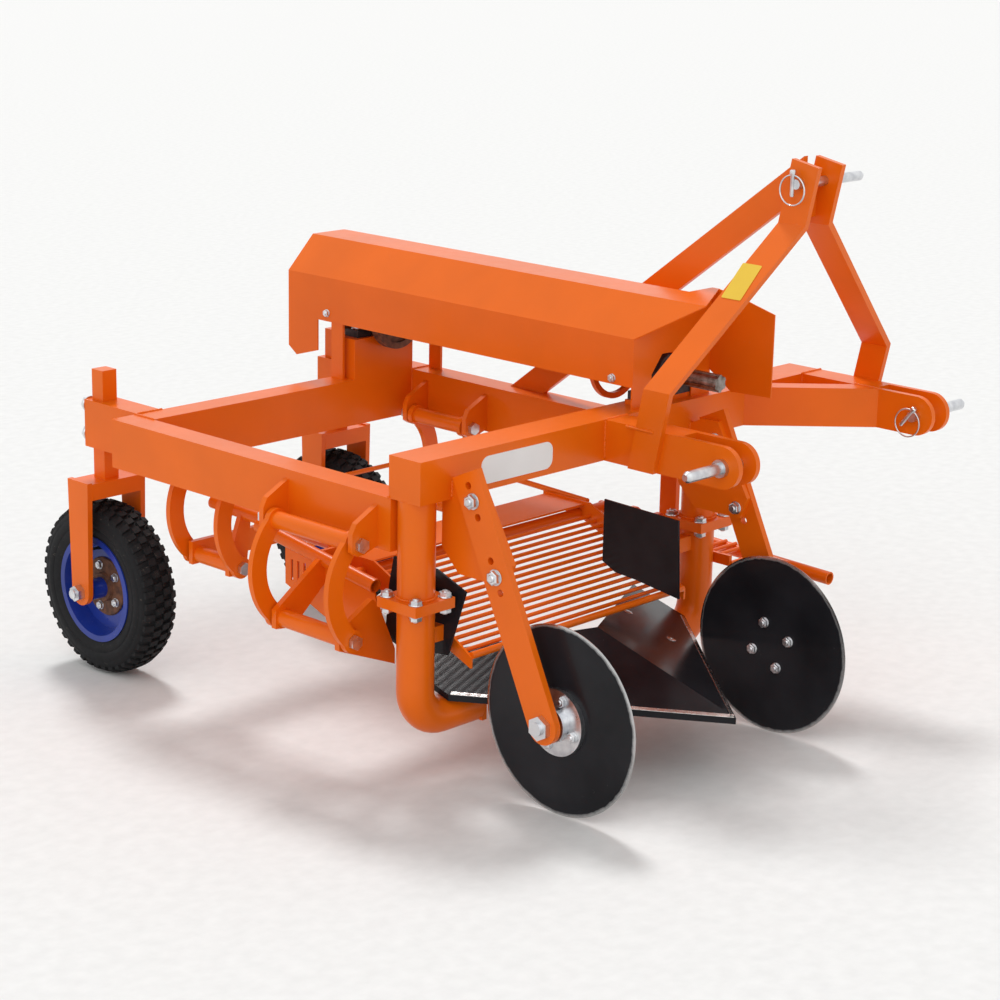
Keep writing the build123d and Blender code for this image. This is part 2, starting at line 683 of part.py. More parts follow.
# ---- hangers ----------------------------------------------------------------------------------
# name, pivot x, bow direction (0 is straight), upper tube, lower pin
HANGERS = [
    ("link_front_right", FRONT_HANGER_X, -1, FRONT_LINK, (FRONT_LINK[0] - 1, FRONT_LINK[1] + 1)),
    ("link_front_left", LEFT_HANGER_X, 0, LEFT_LINK, (LEFT_LUGS[0], LEFT_LUGS[1] + LINK_PLATE)),
    ("link_rear_right", REAR_HANGER_X, -1, REAR_LINK, (REAR_LINK[0] - 1, REAR_LINK[1] + 1)),
    ("link_rear_left", REAR_LEFT_X, 1, REAR_LINK, (REAR_LINK[0] - 1, REAR_LINK[1] + 1)),
]
BEAM_FACES = {
    FRONT_HANGER_X: 0,
    LEFT_HANGER_X: FRAME_WIDTH,
    REAR_HANGER_X: SIDE_BEAM_WIDTH,
    REAR_LEFT_X: FRAME_WIDTH - SIDE_BEAM_WIDTH,
}
bow_r = ((LINK_LENGTH / 2) ** 2 + LINK_BOW**2) / (2 * LINK_BOW)
link_mid_z = HANGER_Z - LINK_LENGTH / 2


def link_arm(x, way, y0):
    """A bowed flat arm with an eye at each end."""
    y1 = y0 + LINK_PLATE
    middle_x = x + way * (LINK_BOW - bow_r)
    arm = cyl_y(middle_x, link_mid_z, bow_r + 18, y0, y1)
    arm -= cyl_y(middle_x, link_mid_z, bow_r - 18, y0 - 1, y1 + 1)
    arm &= block(x, x + way * 200, y0 - 2, y1 + 2, 0, HIGHEST)
    arm += cyl_y(x, HANGER_Z, 22, y0, y1)
    arm += cyl_y(x, LOWER_PIVOT_Z, 22, y0, y1)
    return arm


def straight_link(x, y0, y1):
    """A broad flat link with one lower eye and the drive lever above."""
    arm = block(x - 6, x + 6, y0, y1, LOWER_PIVOT_Z, HANGER_Z)
    arm += cyl_y(x, LOWER_PIVOT_Z, 22, y0, y1)
    lever = [(x - 20, HANGER_Z), (x + 20, HANGER_Z), (x + 16, SHAFT_Z), (x - 16, SHAFT_Z)]
    arm += plate_y(lever, STRAP_Y - 20, STRAP_Y - 10)
    arm += cyl_y(x, SHAFT_Z, 20, STRAP_Y - 20, STRAP_Y - 10)
    return arm + cyl_y(x, SHAFT_Z, PIN_R, STRAP_Y - 20, STRAP_Y + 16)


ears = []
ear_bolts = []
pivot_pins = []
for name, x, way, tube_y, pin_y in HANGERS:
    y0, y1 = tube_y
    link = cyl_y(x, HANGER_Z, LINK_TUBE_R, y0, y1)
    if way:
        link += link_arm(x, way, y0)
        link += link_arm(x, way, y1 - LINK_PLATE)
    else:
        link += straight_link(x, LEFT_LUGS[0] + LINK_PLATE + SIDE_GAP, LEFT_LUGS[1] - SIDE_GAP)
    link -= cyl_y(x, HANGER_Z, PIN_R + RUN, y0 - 1, y1 + 1)
    link -= cyl_y(x, LOWER_PIVOT_Z, PIN_R + RUN, y0 - 1, y1 + 1)
    keep(name, link)

    beam_face = BEAM_FACES[x]
    out = 1 if x > beam_face else -1
    ear_side = [
        (beam_face, 575),
        (x + out * 10, 548),
        (x + out * 20, 530),
        (x + out * 20, HANGER_Z - 12),
        (x + out * 8, HANGER_Z - 20),
        (x - out * 8, HANGER_Z - 20),
        (beam_face, 498),
    ]
    front_ear_y = y0 - SIDE_GAP - LINK_PLATE
    rear_ear_y = y1 + SIDE_GAP
    for ear_y in (front_ear_y, rear_ear_y):
        ear = plate_y(ear_side, ear_y, ear_y + LINK_PLATE)
        ears.append(ear - cyl_y(x, HANGER_Z, PIN_R, ear_y - 1, ear_y + LINK_PLATE + 1))
    bolt = cyl_y(x, HANGER_Z, PIN_R, front_ear_y - 1, rear_ear_y + LINK_PLATE + 14)
    bolt += hex_y(x, HANGER_Z, 24, front_ear_y - 10, front_ear_y)
    bolt += hex_y(x, HANGER_Z, 24, rear_ear_y + LINK_PLATE, rear_ear_y + LINK_PLATE + 13)
    ear_bolts.append(bolt)
    pin = cyl_y(x, LOWER_PIVOT_Z, PIN_R, pin_y[0] - 1, pin_y[1] + 14)
    pin += hex_y(x, LOWER_PIVOT_Z, 24, pin_y[0] - 10, pin_y[0])
    pin += hex_y(x, LOWER_PIVOT_Z, 24, pin_y[1], pin_y[1] + 12)
    pivot_pins.append(pin)
keep("hanger_ears", *ears)
keep("hanger_bolts", *ear_bolts)
keep("riddle_pins", *pivot_pins)

strap_bore = ECCENTRIC_R + 2 * ECCENTRIC_THROW + 5
lever_x = LEFT_HANGER_X
rod = cyl_y(SHAFT_X, SHAFT_Z, STRAP_OUTER_R, STRAP_Y - 5, STRAP_Y + 5)
rod += block(SHAFT_X + strap_bore, lever_x, STRAP_Y - 5, STRAP_Y + 5, SHAFT_Z - 14, SHAFT_Z + 14)
rod += cyl_y(lever_x, SHAFT_Z, 18, STRAP_Y - 5, STRAP_Y + 5)
rod -= cyl_y(SHAFT_X, SHAFT_Z, strap_bore, STRAP_Y - 6, STRAP_Y + 6)
rod -= cyl_y(lever_x, SHAFT_Z, PIN_R + RUN, STRAP_Y - 6, STRAP_Y + 6)
keep("eccentric_rod", rod)


# ---- riddle -----------------------------------------------------------------------------------
def floor_z(y):
    """Height of the riddle bars."""
    return 290 + 0.43 * (y + 72)


def rail_z(y):
    """Height of the front right rail."""
    return 391 + 0.1447 * (y - 100)


def rear_rail_z(y):
    """Height of the two rear rails."""
    return 423 + 0.03 * (y - 481)


def sloped(x, y0, y1, height, radius):
    """A round rail that follows a height law."""
    return bar((x, y0, height(y0)), (x, y1, height(y1)), radius)


rear_end = 650
right_rail = sloped(FRONT_RAIL_X, 100, 430, rail_z, RAIL_R)
right_bore = sloped(FRONT_RAIL_X, 99, 431, rail_z, RAIL_R - 3)
rear_rail = sloped(REAR_RAIL_X, 250, rear_end, rear_rail_z, RAIL_R)
rear_bore = sloped(REAR_RAIL_X, 249, rear_end + 1, rear_rail_z, RAIL_R - 3)
left_rod = sloped(LEFT_ROD_X, 176, rear_end, rear_rail_z, 6)
left_rail = cyl_y(LEFT_RAIL_X, 385, RAIL_R, 35, 199)
left_bore = cyl_y(LEFT_RAIL_X, 385, RAIL_R - 3, 34, 200)
rails = right_rail + rear_rail + left_rail + left_rod

cross_y = 188
cross_tube = cyl_x(cross_y, 388, 11, FRONT_RAIL_X, LEFT_RAIL_X)
tail_rod = cyl_x(rear_end - 5, 421, 5, REAR_RAIL_X, LEFT_ROD_X)
front_join = block(FRONT_RAIL_X, REAR_RAIL_X, 252, 260, 400, 425)
rear_join = block(FRONT_RAIL_X, REAR_RAIL_X, 418, 426, 415, 445)
keep(
    "riddle_rails",
    right_rail - right_bore,
    rear_rail - rear_bore,
    left_rail - left_bore,
    left_rod,
    cross_tube - rails,
    tail_rod - rails,
    front_join - rails,
    rear_join - rails,
)

strip_side = [
    (-100, 268),
    (176, 378),
    (288, 396),
    (288, 416),
    (160, 416),
    (-40, 325),
    (-100, 290),
]
right_strip = plate_x(strip_side, FLOOR_SIDE - EDGE_SHEET, FLOOR_SIDE)
left_strip = plate_x(strip_side, FLOOR_LEFT, FLOOR_LEFT + EDGE_SHEET)
strips = right_strip + left_strip
side_plate = plate_x(
    [(74, 262), (74, 306), (104, 386), (350, 421), (350, 340), (240, 300)],
    FRONT_RAIL_X - 2,
    FRONT_RAIL_X + 2,
)
for slot_y in (292, 310, 328):
    side_plate -= block(FRONT_RAIL_X - 3, FRONT_RAIL_X + 3, slot_y, slot_y + 6, 350, 392)
deck_front, deck_rear = 172, 282
deck_outline = [
    (FLOOR_SIDE, deck_front),
    (LEFT_ROD_X, deck_front),
    (LEFT_ROD_X, deck_rear),
    (REAR_RAIL_X, deck_rear),
    (REAR_RAIL_X, 250),
    (FLOOR_SIDE, 250),
]
deck = plate_z(deck_outline, 408, 412)
keep(
    "riddle_plates",
    right_strip - rails - cross_tube - front_join,
    left_strip - cross_tube,
    side_plate - right_rail - cross_tube - front_join,
    deck - rails - strips - front_join,
)

bars = []
for index in range(BAR_COUNT):
    y = FIRST_BAR_Y + index * BAR_PITCH
    bars.append(cyl_x(y, floor_z(y), BAR_R, FLOOR_SIDE, FLOOR_LEFT))
bars.append(cyl_x(FIRST_BAR_Y - 12, 291, 7, FLOOR_SIDE, FLOOR_LEFT))
keep("riddle_front_bars", *bars)

# x and z of each lug, first y, what is cut out of it
front_lug_y = (FRONT_LINK[0] + LINK_PLATE + SIDE_GAP, FRONT_LINK[1] - 2 * LINK_PLATE - SIDE_GAP)
rear_lug_y = (REAR_LINK[0] + LINK_PLATE + SIDE_GAP, REAR_LINK[1] - 2 * LINK_PLATE - SIDE_GAP)
low = LOWER_PIVOT_Z
first_lug = [
    (-62, low - 18),
    (-32, low - 30),
    (55, 255),
    (79, 245),
    (79, 275),
    (36, 372),
    (20, 384),
    (-62, low + 18),
]
lug_end = FRONT_RAIL_X - 2
second_lug = [
    (-62, low - 18),
    (-18, low - 24),
    (lug_end, 367),
    (lug_end, 415),
    (48, 415),
    (-62, low + 18),
]
left_lug = [
    (LEFT_HANGER_X - 18, low - 20),
    (LEFT_HANGER_X + 20, low - 20),
    (LEFT_HANGER_X + 20, low + 18),
    (LEFT_RAIL_X + 10, 402),
    (LEFT_RAIL_X - 12, 402),
    (LEFT_RAIL_X - 12, 374),
]
rear_right_lug = [
    (86, low - 18),
    (130, low - 24),
    (143, 405),
    (143, 429),
    (121, 429),
    (96, 360),
    (86, low + 18),
]
rear_left_lug = [
    (REAR_LEFT_X - 22, low - 18),
    (REAR_LEFT_X + 22, low - 18),
    (REAR_LEFT_X + 22, low + 20),
    (LEFT_ROD_X + 10, 432),
    (LEFT_ROD_X - 10, 432),
    (REAR_LEFT_X - 22, low + 20),
]
LUGS = [
    (first_lug, front_lug_y[0], FRONT_HANGER_X),
    (second_lug, front_lug_y[1], FRONT_HANGER_X),
    (left_lug, LEFT_LUGS[0], LEFT_HANGER_X),
    (left_lug, LEFT_LUGS[1], LEFT_HANGER_X),
    (rear_right_lug, rear_lug_y[0], REAR_HANGER_X),
    (rear_left_lug, rear_lug_y[0], REAR_LEFT_X),
]
lugs = []
for outline, lug_y, pivot_x in LUGS:
    lug = plate_y(outline, lug_y, lug_y + LINK_PLATE) - rails - side_plate
    lugs.append(lug - cyl_y(pivot_x, low, PIN_R, lug_y - 1, lug_y + LINK_PLATE + 1))
cross_y0 = rear_lug_y[1]
cross_member = block(REAR_HANGER_X - 20, REAR_LEFT_X + 22, cross_y0, cross_y0 + LINK_PLATE, low - 18, low + 30)
TUBES = [
    (FRONT_HANGER_X, front_lug_y[0] + LINK_PLATE, front_lug_y[1]),
    (REAR_HANGER_X, rear_lug_y[0] + LINK_PLATE, rear_lug_y[1]),
    (REAR_LEFT_X, rear_lug_y[0] + LINK_PLATE, rear_lug_y[1]),
]
for pivot_x, tube_y0, tube_y1 in TUBES:
    tube = cyl_y(pivot_x, low, LINK_TUBE_R, tube_y0, tube_y1)
    lugs.append(tube - cyl_y(pivot_x, low, PIN_R, tube_y0 - 1, tube_y1 + 1))
    cross_member -= cyl_y(pivot_x, low, PIN_R, cross_y0 - 1, cross_y0 + LINK_PLATE + 1)
keep("riddle_lugs", *lugs, cross_member)

# ---- parking attitude: down on the wheels and the discs ---------------------------------------
run_y = WHEEL_Y - DISC_Y
run_z = WHEEL_Z - DISC_Z
reach = sqrt(run_y**2 + run_z**2)
nose_down = degrees(asin((TYRE_R - DISC_R) / reach) - atan2(run_z, run_y))
laid = {}
for name, solids in nodes.items():
    laid[name] = Compound([Rot(nose_down, 0, 0) * solid for solid in solids])
boxes = [shape.bounding_box() for shape in laid.values()]
middle_x = (min(b.min.X for b in boxes) + max(b.max.X for b in boxes)) / 2
middle_y = (min(b.min.Y for b in boxes) + max(b.max.Y for b in boxes)) / 2
lowest = min(b.min.Z for b in boxes)
for name, shape in laid.items():
    export_step(Pos(-middle_x, -middle_y, -lowest) * shape, f"parts/{name}.step")
print(f"laid down by {nose_down:.4f} deg, moved by {-middle_x:.4f} {-middle_y:.4f} {-lowest:.4f}")
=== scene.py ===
"""Potato digger: finishes, fittings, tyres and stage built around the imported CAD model."""

import json
import math

import bmesh
import bpy
from mathutils import Matrix, Vector


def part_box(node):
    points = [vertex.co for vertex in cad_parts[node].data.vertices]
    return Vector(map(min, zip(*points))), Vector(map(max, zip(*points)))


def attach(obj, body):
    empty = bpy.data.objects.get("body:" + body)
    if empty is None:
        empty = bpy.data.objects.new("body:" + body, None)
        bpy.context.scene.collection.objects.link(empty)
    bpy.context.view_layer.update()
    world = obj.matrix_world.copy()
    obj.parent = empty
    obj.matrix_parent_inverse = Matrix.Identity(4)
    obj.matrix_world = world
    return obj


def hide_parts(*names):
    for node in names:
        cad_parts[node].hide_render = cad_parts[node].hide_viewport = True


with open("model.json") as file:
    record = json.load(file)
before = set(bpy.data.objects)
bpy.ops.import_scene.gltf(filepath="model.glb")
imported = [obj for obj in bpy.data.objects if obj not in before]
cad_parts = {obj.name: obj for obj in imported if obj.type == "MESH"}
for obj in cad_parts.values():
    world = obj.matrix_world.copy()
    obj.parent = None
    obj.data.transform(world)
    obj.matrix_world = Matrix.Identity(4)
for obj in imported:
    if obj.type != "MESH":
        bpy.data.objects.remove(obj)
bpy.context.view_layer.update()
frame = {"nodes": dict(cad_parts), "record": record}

bl_info = {
    "name": "Potato digger",
    "version": (1, 0, 0),
    "blender": (4, 5, 0),
    "location": "View3D > Sidebar > Digger",
    "description": "Finishes and fittings of a single row potato digger",
    "category": "Object",
}

MM = 0.001
SIDES = ("right", "left")
NODES = frame["nodes"]
JOINTS = {joint["name"]: joint for joint in frame["record"]["behaviour"]["joints"]}

# ---- layout frame ---------------------------------------------------------------------------
# The machine is drawn level, in millimetres, and laid down on its wheels and discs. The drive
# shaft's axis gives the slope and the right wheel's centre gives the place.
SLOPE = Vector(JOINTS["shaft_spin"]["axis"])
COS, SIN = SLOPE[1], SLOPE[2]
# X of each wheel's middle, then Y and Z of its axle
WHEELS = {"right": 97.0, "left": 749.0}
WHEEL_CENTRE = (955.0, 188.0)


def turned_down(v):
    """A direction of the level machine, in the frame of the parked one."""
    return Vector((v[0], v[1] * COS - v[2] * SIN, v[1] * SIN + v[2] * COS))


RIGHT_WHEEL = (WHEELS["right"], *WHEEL_CENTRE)
ORIGIN = Vector(JOINTS["right_wheel_spin"]["pos_m"]) - turned_down(RIGHT_WHEEL) * MM


def level(x, y, z):
    """A point of the level machine in millimetres, in metres in the parked frame."""
    return ORIGIN + turned_down((x, y, z)) * MM


# directions of the level machine
X_RIGHT, X_LEFT = (-1, 0, 0), (1, 0, 0)
Y_REAR = (0, 1, 0)
Z_UP, Z_DOWN = (0, 0, 1), (0, 0, -1)


# ---- materials ------------------------------------------------------------------------------
class Graph:
    """Small helper that wires a node tree."""

    def __init__(self, tree):
        self.tree = tree

    def add(self, kind, **settings):
        node = self.tree.nodes.new(kind)
        for key, value in settings.items():
            setattr(node, key, value)
        return node

    def put(self, source, target):
        self.tree.links.new(source, target)

    def noise(self, coords, scale, detail=3.0, rough=0.5):
        node = self.add("ShaderNodeTexNoise")
        node.inputs["Scale"].default_value = scale
        node.inputs["Detail"].default_value = detail
        node.inputs["Roughness"].default_value = rough
        self.put(coords, node.inputs["Vector"])
        return node.outputs["Fac"]

    def ramp(self, value, low, high, start=(0, 0, 0, 1), end=(1, 1, 1, 1)):
        node = self.add("ShaderNodeValToRGB")
        node.color_ramp.elements[0].position = low
        node.color_ramp.elements[1].position = high
        node.color_ramp.elements[0].color = start
        node.color_ramp.elements[1].color = end
        self.put(value, node.inputs["Fac"])
        return node.outputs["Color"]

    def mix(self, fac, first, second):
        node = self.add("ShaderNodeMix", data_type="RGBA")
        if isinstance(fac, float):
            node.inputs[0].default_value = fac
        else:
            self.put(fac, node.inputs[0])
        for socket, value in ((node.inputs[6], first), (node.inputs[7], second)):
            if isinstance(value, tuple):
                socket.default_value = value
            else:
                self.put(value, socket)
        return node.outputs[2]

    def math(self, operation, first, second=0.0):
        node = self.add("ShaderNodeMath", operation=operation)
        for socket, value in ((node.inputs[0], first), (node.inputs[1], second)):
            if isinstance(value, (int, float)):
                socket.default_value = value
            else:
                self.put(value, socket)
        return node.outputs[0]


def rgba(color):
    return (color[0], color[1], color[2], 1.0)


def new_material(name):
    material = bpy.data.materials.new(name)
    material.use_nodes = True
    graph = Graph(material.node_tree)
    shader = material.node_tree.nodes["Principled BSDF"]
    coords = graph.add("ShaderNodeTexCoord").outputs["Object"]
    return material, graph, shader, coords


def finish_surface(graph, shader, coords, color, rough, grain, bump):
    """Colour, roughness between two values and a fine bump."""
    graph.put(color, shader.inputs["Base Color"])
    patches = graph.noise(coords, grain * 0.12, 4.0)
    spread = graph.add("ShaderNodeMapRange")
    spread.inputs["To Min"].default_value = rough[0]
    spread.inputs["To Max"].default_value = rough[1]
    graph.put(patches, spread.inputs["Value"])
    graph.put(spread.outputs["Result"], shader.inputs["Roughness"])
    relief = graph.add("ShaderNodeBump")
    relief.inputs["Strength"].default_value = bump
    relief.inputs["Distance"].default_value = 0.001
    graph.put(graph.noise(coords, grain, 2.0), relief.inputs["Height"])
    graph.put(relief.outputs["Normal"], shader.inputs["Normal"])


# settings that the enamels share, then what lies on them or shows through
ORANGE_ROUGH = (0.26, 0.38)
ORANGE_COAT = 0.09
ORANGE_SHADE = 0.9
BLUE_SHADE = 0.6
ENAMEL_GRAIN = 420.0
ENAMEL_BUMP = 0.06
ENAMEL_COAT_ROUGH = 0.12
ENAMEL_SPECULAR = 0.2
DUST = (0.42, 0.36, 0.29, 1.0)
NUT_ZINC = (0.68, 0.69, 0.71, 1.0)
BARE_METAL = (0.5, 0.5, 0.5, 1.0)
# how far the disc arms' nuts stand out from their plates, in metres
NUT_REACH = 0.0178


def darker(color, share):
    """The same colour with each channel cut to a share of it."""
    return tuple(channel * share for channel in color)


def enamel_tone(graph, coords, base, shade):
    """Sprayed colour that drifts softly between two tones."""
    return graph.ramp(graph.noise(coords, 5.0, 4.0), 0.35, 0.7, rgba(shade), rgba(base))


def clear_coat(shader, weight, rough, specular):
    """Gloss layer, and how strongly the colour under it mirrors."""
    shader.inputs["Coat Weight"].default_value = weight
    shader.inputs["Coat Roughness"].default_value = rough
    shader.inputs["Specular IOR Level"].default_value = specular


def enamel(name, base, shade, rough, dust=0.0, coat=0.35, grain=ENAMEL_GRAIN):
    """Enamel, film or rubber with an uneven tone, a fine grain and a little dust."""
    material, graph, shader, coords = new_material(name)
    tone = enamel_tone(graph, coords, base, shade)
    specks = graph.ramp(graph.noise(coords, 95.0, 6.0, 0.7), 0.62, 0.72)
    color = graph.mix(graph.math("MULTIPLY", specks, dust), tone, DUST)
    clear_coat(shader, coat, ENAMEL_COAT_ROUGH, ENAMEL_SPECULAR)
    finish_surface(graph, shader, coords, color, rough, grain, ENAMEL_BUMP)
    return material


def metal(name, light, dark, rough, grain, bump, metallic):
    """Metal in patches of two tones."""
    material, graph, shader, coords = new_material(name)
    shader.inputs["Metallic"].default_value = metallic
    tone = graph.ramp(graph.noise(coords, grain * 0.2, 5.0), 0.3, 0.72, rgba(dark), rgba(light))
    finish_surface(graph, shader, coords, tone, rough, grain, bump)
    return material


def reach_from_axle(graph, coords, centre):
    """Distance from an axle that runs along X through the centre."""
    place = graph.add("ShaderNodeMapping", vector_type="POINT")
    place.inputs["Location"].default_value = -centre
    graph.put(coords, place.inputs["Vector"])
    flat = graph.add("ShaderNodeSeparateXYZ")
    graph.put(place.outputs["Vector"], flat.inputs["Vector"])
    across = graph.math("MULTIPLY", flat.outputs["Y"], flat.outputs["Y"])
    up = graph.math("MULTIPLY", flat.outputs["Z"], flat.outputs["Z"])
    return graph.math("SQRT", graph.math("ADD", across, up))


def worn_black(name, centre=None, radius=0.0):
    """Gloss black enamel with scuffs, rubbed bright at the rim where a centre is given."""
    material, graph, shader, coords = new_material(name)
    dark, light = (0.008, 0.008, 0.01, 1), (0.022, 0.022, 0.026, 1)
    tone = graph.ramp(graph.noise(coords, 6.0), 0.3, 0.7, dark, light)
    scuffs = graph.ramp(graph.noise(coords, 70.0, 6.0, 0.75), 0.68, 0.74)
    worn = graph.math("MULTIPLY", scuffs, 0.22)
    if centre is not None:
        ragged = graph.math("MULTIPLY", graph.noise(coords, 60.0, 5.0), 0.006)
        reach = graph.math("ADD", reach_from_axle(graph, coords, centre), ragged)
        rim = graph.add("ShaderNodeMapRange")
        rim.inputs["From Min"].default_value = radius - 0.004
        rim.inputs["From Max"].default_value = radius + 0.001
        graph.put(reach, rim.inputs["Value"])
        worn = graph.math("MAXIMUM", worn, rim.outputs["Result"])
    color = graph.mix(worn, tone, BARE_METAL)
    graph.put(worn, shader.inputs["Metallic"])
    clear_coat(shader, 0.05, 0.06, 0.14)
    finish_surface(graph, shader, coords, color, (0.14, 0.3), 300.0, 0.03)
    return material


def nutted_enamel(name, base, mid, half):
    """Enamel on the plates, bright zinc on the nuts that stand more than half from the middle."""
    material, graph, shader, coords = new_material(name)
    parts = graph.add("ShaderNodeSeparateXYZ")
    graph.put(coords, parts.inputs["Vector"])
    away = graph.math("ABSOLUTE", graph.math("SUBTRACT", parts.outputs["X"], mid))
    plated = graph.math("GREATER_THAN", away, half)
    tone = enamel_tone(graph, coords, base, darker(base, ORANGE_SHADE))
    color = graph.mix(plated, tone, NUT_ZINC)
    graph.put(plated, shader.inputs["Metallic"])
    clear_coat(shader, ORANGE_COAT, ENAMEL_COAT_ROUGH, ENAMEL_SPECULAR)
    finish_surface(graph, shader, coords, color, ORANGE_ROUGH, ENAMEL_GRAIN, ENAMEL_BUMP)
    return material


# material name, light colour, dark colour, roughness range, grain, bump, metallic
METALS = {
    "zinc": ("bright_zinc", (0.78, 0.79, 0.8), (0.5, 0.51, 0.54), (0.2, 0.42), 260.0, 0.12, 1.0),
    "casting": ("dark_casting", (0.06, 0.06, 0.065), (0.02, 0.02, 0.022), (0.4, 0.6), 500.0, 0.3, 0.3),
    "rust": ("rusty_iron", (0.24, 0.1, 0.05), (0.07, 0.035, 0.025), (0.55, 0.85), 380.0, 0.35, 0.35),
    "steel": ("greased_steel", (0.36, 0.34, 0.32), (0.12, 0.09, 0.07), (0.25, 0.5), 420.0, 0.12, 1.0),
    "worn_steel": ("worn_steel", (0.62, 0.61, 0.6), (0.42, 0.4, 0.38), (0.18, 0.34), 500.0, 0.12, 1.0),
}
# material name, base colour, shade, roughness range, dust, coat, grain
COATINGS = {
    "rubber": ("tyre_rubber", (0.017, 0.017, 0.018), (0.009, 0.009, 0.01), (0.62, 0.86), 0.16, 0.0, 900.0),
    "white": ("white_sheet", (0.86, 0.86, 0.85), (0.78, 0.78, 0.77), (0.3, 0.42), 0.0, 0.2, 420.0),
    "yellow": ("yellow_film", (0.85, 0.58, 0.05), (0.78, 0.5, 0.04), (0.32, 0.45), 0.0, 0.2, 420.0),
}
MATERIALS = {}


def make_materials(sizes):
    """Fills the list of finishes, with the two colours that the user can change."""
    orange = tuple(sizes.orange)
    shade = darker(orange, ORANGE_SHADE)
    MATERIALS["orange"] = enamel("orange_enamel", orange, shade, ORANGE_ROUGH, 0.05, ORANGE_COAT)
    blue = tuple(sizes.rim_blue)
    MATERIALS["blue"] = enamel("blue_enamel", blue, darker(blue, BLUE_SHADE), (0.22, 0.4), 0.2)
    MATERIALS["black"] = worn_black("worn_black_enamel")
    for finish, settings in METALS.items():
        MATERIALS[finish] = metal(*settings)
    for finish, settings in COATINGS.items():
        MATERIALS[finish] = enamel(*settings)


NODE_FINISH = {
    "orange": "front_beam side_beams rear_beam hitch_arms corner_tube mast_legs mast_brace"
    " bearing_seats drive_cover cover_stays share_legs_upper share_legs_lower share_carriers"
    " side_guard disc_brackets wheel_sleeves wheel_forks hanger_ears eccentric_rod"
    " link_front_right link_front_left link_rear_right link_rear_left riddle_rails riddle_plates"
    " riddle_front_bars riddle_lugs",
    "zinc": "hitch_pins wheel_axles hanger_bolts riddle_pins disc_hub_right disc_hub_left",
    "black": "share deflectors",
    "casting": "bearing_blocks",
    "rust": "shaft_discs",
    "steel": "drive_shaft",
    "rubber": "tyre_right tyre_left",
    "blue": "wheel_rim_right wheel_rim_left",
}


def paint(obj, material):
    obj.data.materials.clear()
    obj.data.materials.append(material)


# ---- mesh helpers ---------------------------------------------------------------------------
def new_object(name, mesh):
    obj = bpy.data.objects.new(name, mesh)
    bpy.context.scene.collection.objects.link(obj)
    return obj


def basis(axis):
    """A right handed set of directions whose third one is the axis."""
    axis = Vector(axis).normalized()
    side = Vector((1, 0, 0)) if abs(axis.x) < 0.9 else Vector((0, 1, 0))
    first = (side - axis * side.dot(axis)).normalized()
    return Matrix((first, axis.cross(first), axis)).transposed()


def round_circle(radius, count, first=0.0):
    """Points spaced evenly round a circle, the first at an angle in degrees."""
    angles = [math.radians(first + 360.0 * index / count) for index in range(count)]
    return [(radius * math.cos(angle), radius * math.sin(angle)) for angle in angles]


def lathe(shape, profile, centre, axis, steps=48):
    """Turns (along, radius) points round an axis. A point on the axis closes the end."""
    turn = basis(axis)
    rings = []
    for along, radius in profile:
        places = round_circle(radius, steps) if radius else [(0, 0)]
        rings.append([shape.verts.new(centre + turn @ Vector((a, b, along))) for a, b in places])
    for low, high in zip(rings, rings[1:]):
        for index in range(steps):
            after = (index + 1) % steps
            corners = [
                low[index % len(low)],
                low[after % len(low)],
                high[after % len(high)],
                high[index % len(high)],
            ]
            unique = list(dict.fromkeys(corners))
            if len(unique) > 2:
                shape.faces.new(unique)


def finish_piece(shape, name, finish, smooth_angle=35.0):
    """A piece whose doubled corners are joined, faces point outward and soft edges are smooth."""
    bmesh.ops.remove_doubles(shape, verts=shape.verts, dist=1e-7)
    bmesh.ops.recalc_face_normals(shape, faces=shape.faces)
    limit = math.radians(smooth_angle)
    for face in shape.faces:
        face.smooth = True
    for edge in shape.edges:
        edge.smooth = not (edge.is_manifold and edge.calc_face_angle(0.0) > limit)
    mesh = bpy.data.meshes.new(name)
    shape.to_mesh(mesh)
    shape.free()
    mesh.materials.append(MATERIALS[finish])
    return new_object(name, mesh)


def prism(shape, outline, centre, axis_x, axis_y, axis_z, height):
    """Extrudes an outline of (a, b) points from the centre plane by a height."""
    low = [shape.verts.new(centre + axis_x * a + axis_y * b) for a, b in outline]
    high = [shape.verts.new(vert.co + axis_z * height) for vert in low]
    shape.faces.new(low[::-1])
    shape.faces.new(high)
    for index in range(len(low)):
        after = (index + 1) % len(low)
        shape.faces.new((low[index], low[after], high[after], high[index]))


def chamfered(start, end, radius, chamfer):
    """Profile of a solid cylinder with both rims broken."""
    return [
        (start, 0),
        (start, radius - chamfer),
        (start + chamfer, radius),
        (end - chamfer, radius),
        (end, radius - chamfer),
        (end, 0),
    ]


def rounded(width, height, radius):
    """Outline of a rectangle with round corners, from millimetres to metres."""
    steps = 6
    points = []
    for corner, (sx, sy) in enumerate(((1, 1), (-1, 1), (-1, -1), (1, -1))):
        for step in range(steps + 1):
            angle = math.pi / 2 * (corner + step / steps)
            x = sx * (width / 2 - radius) + radius * math.cos(angle)
            y = sy * (height / 2 - radius) + radius * math.sin(angle)
            points.append((x * MM, y * MM))
    return points


# ---- geometry node trees --------------------------------------------------------------------
def new_tree(name, inputs):
    """A tree with named inputs, and the identifiers of those inputs."""
    tree = bpy.data.node_groups.new(name, "GeometryNodeTree")
    tree.interface.new_socket("Geometry", in_out="INPUT", socket_type="NodeSocketGeometry")
    keys = {}
    for label, kind in inputs:
        keys[label] = tree.interface.new_socket(label, in_out="INPUT", socket_type=kind).identifier
    tree.interface.new_socket("Geometry", in_out="OUTPUT", socket_type="NodeSocketGeometry")
    graph = Graph(tree)
    return tree, graph, graph.add("NodeGroupInput"), graph.add("NodeGroupOutput"), keys


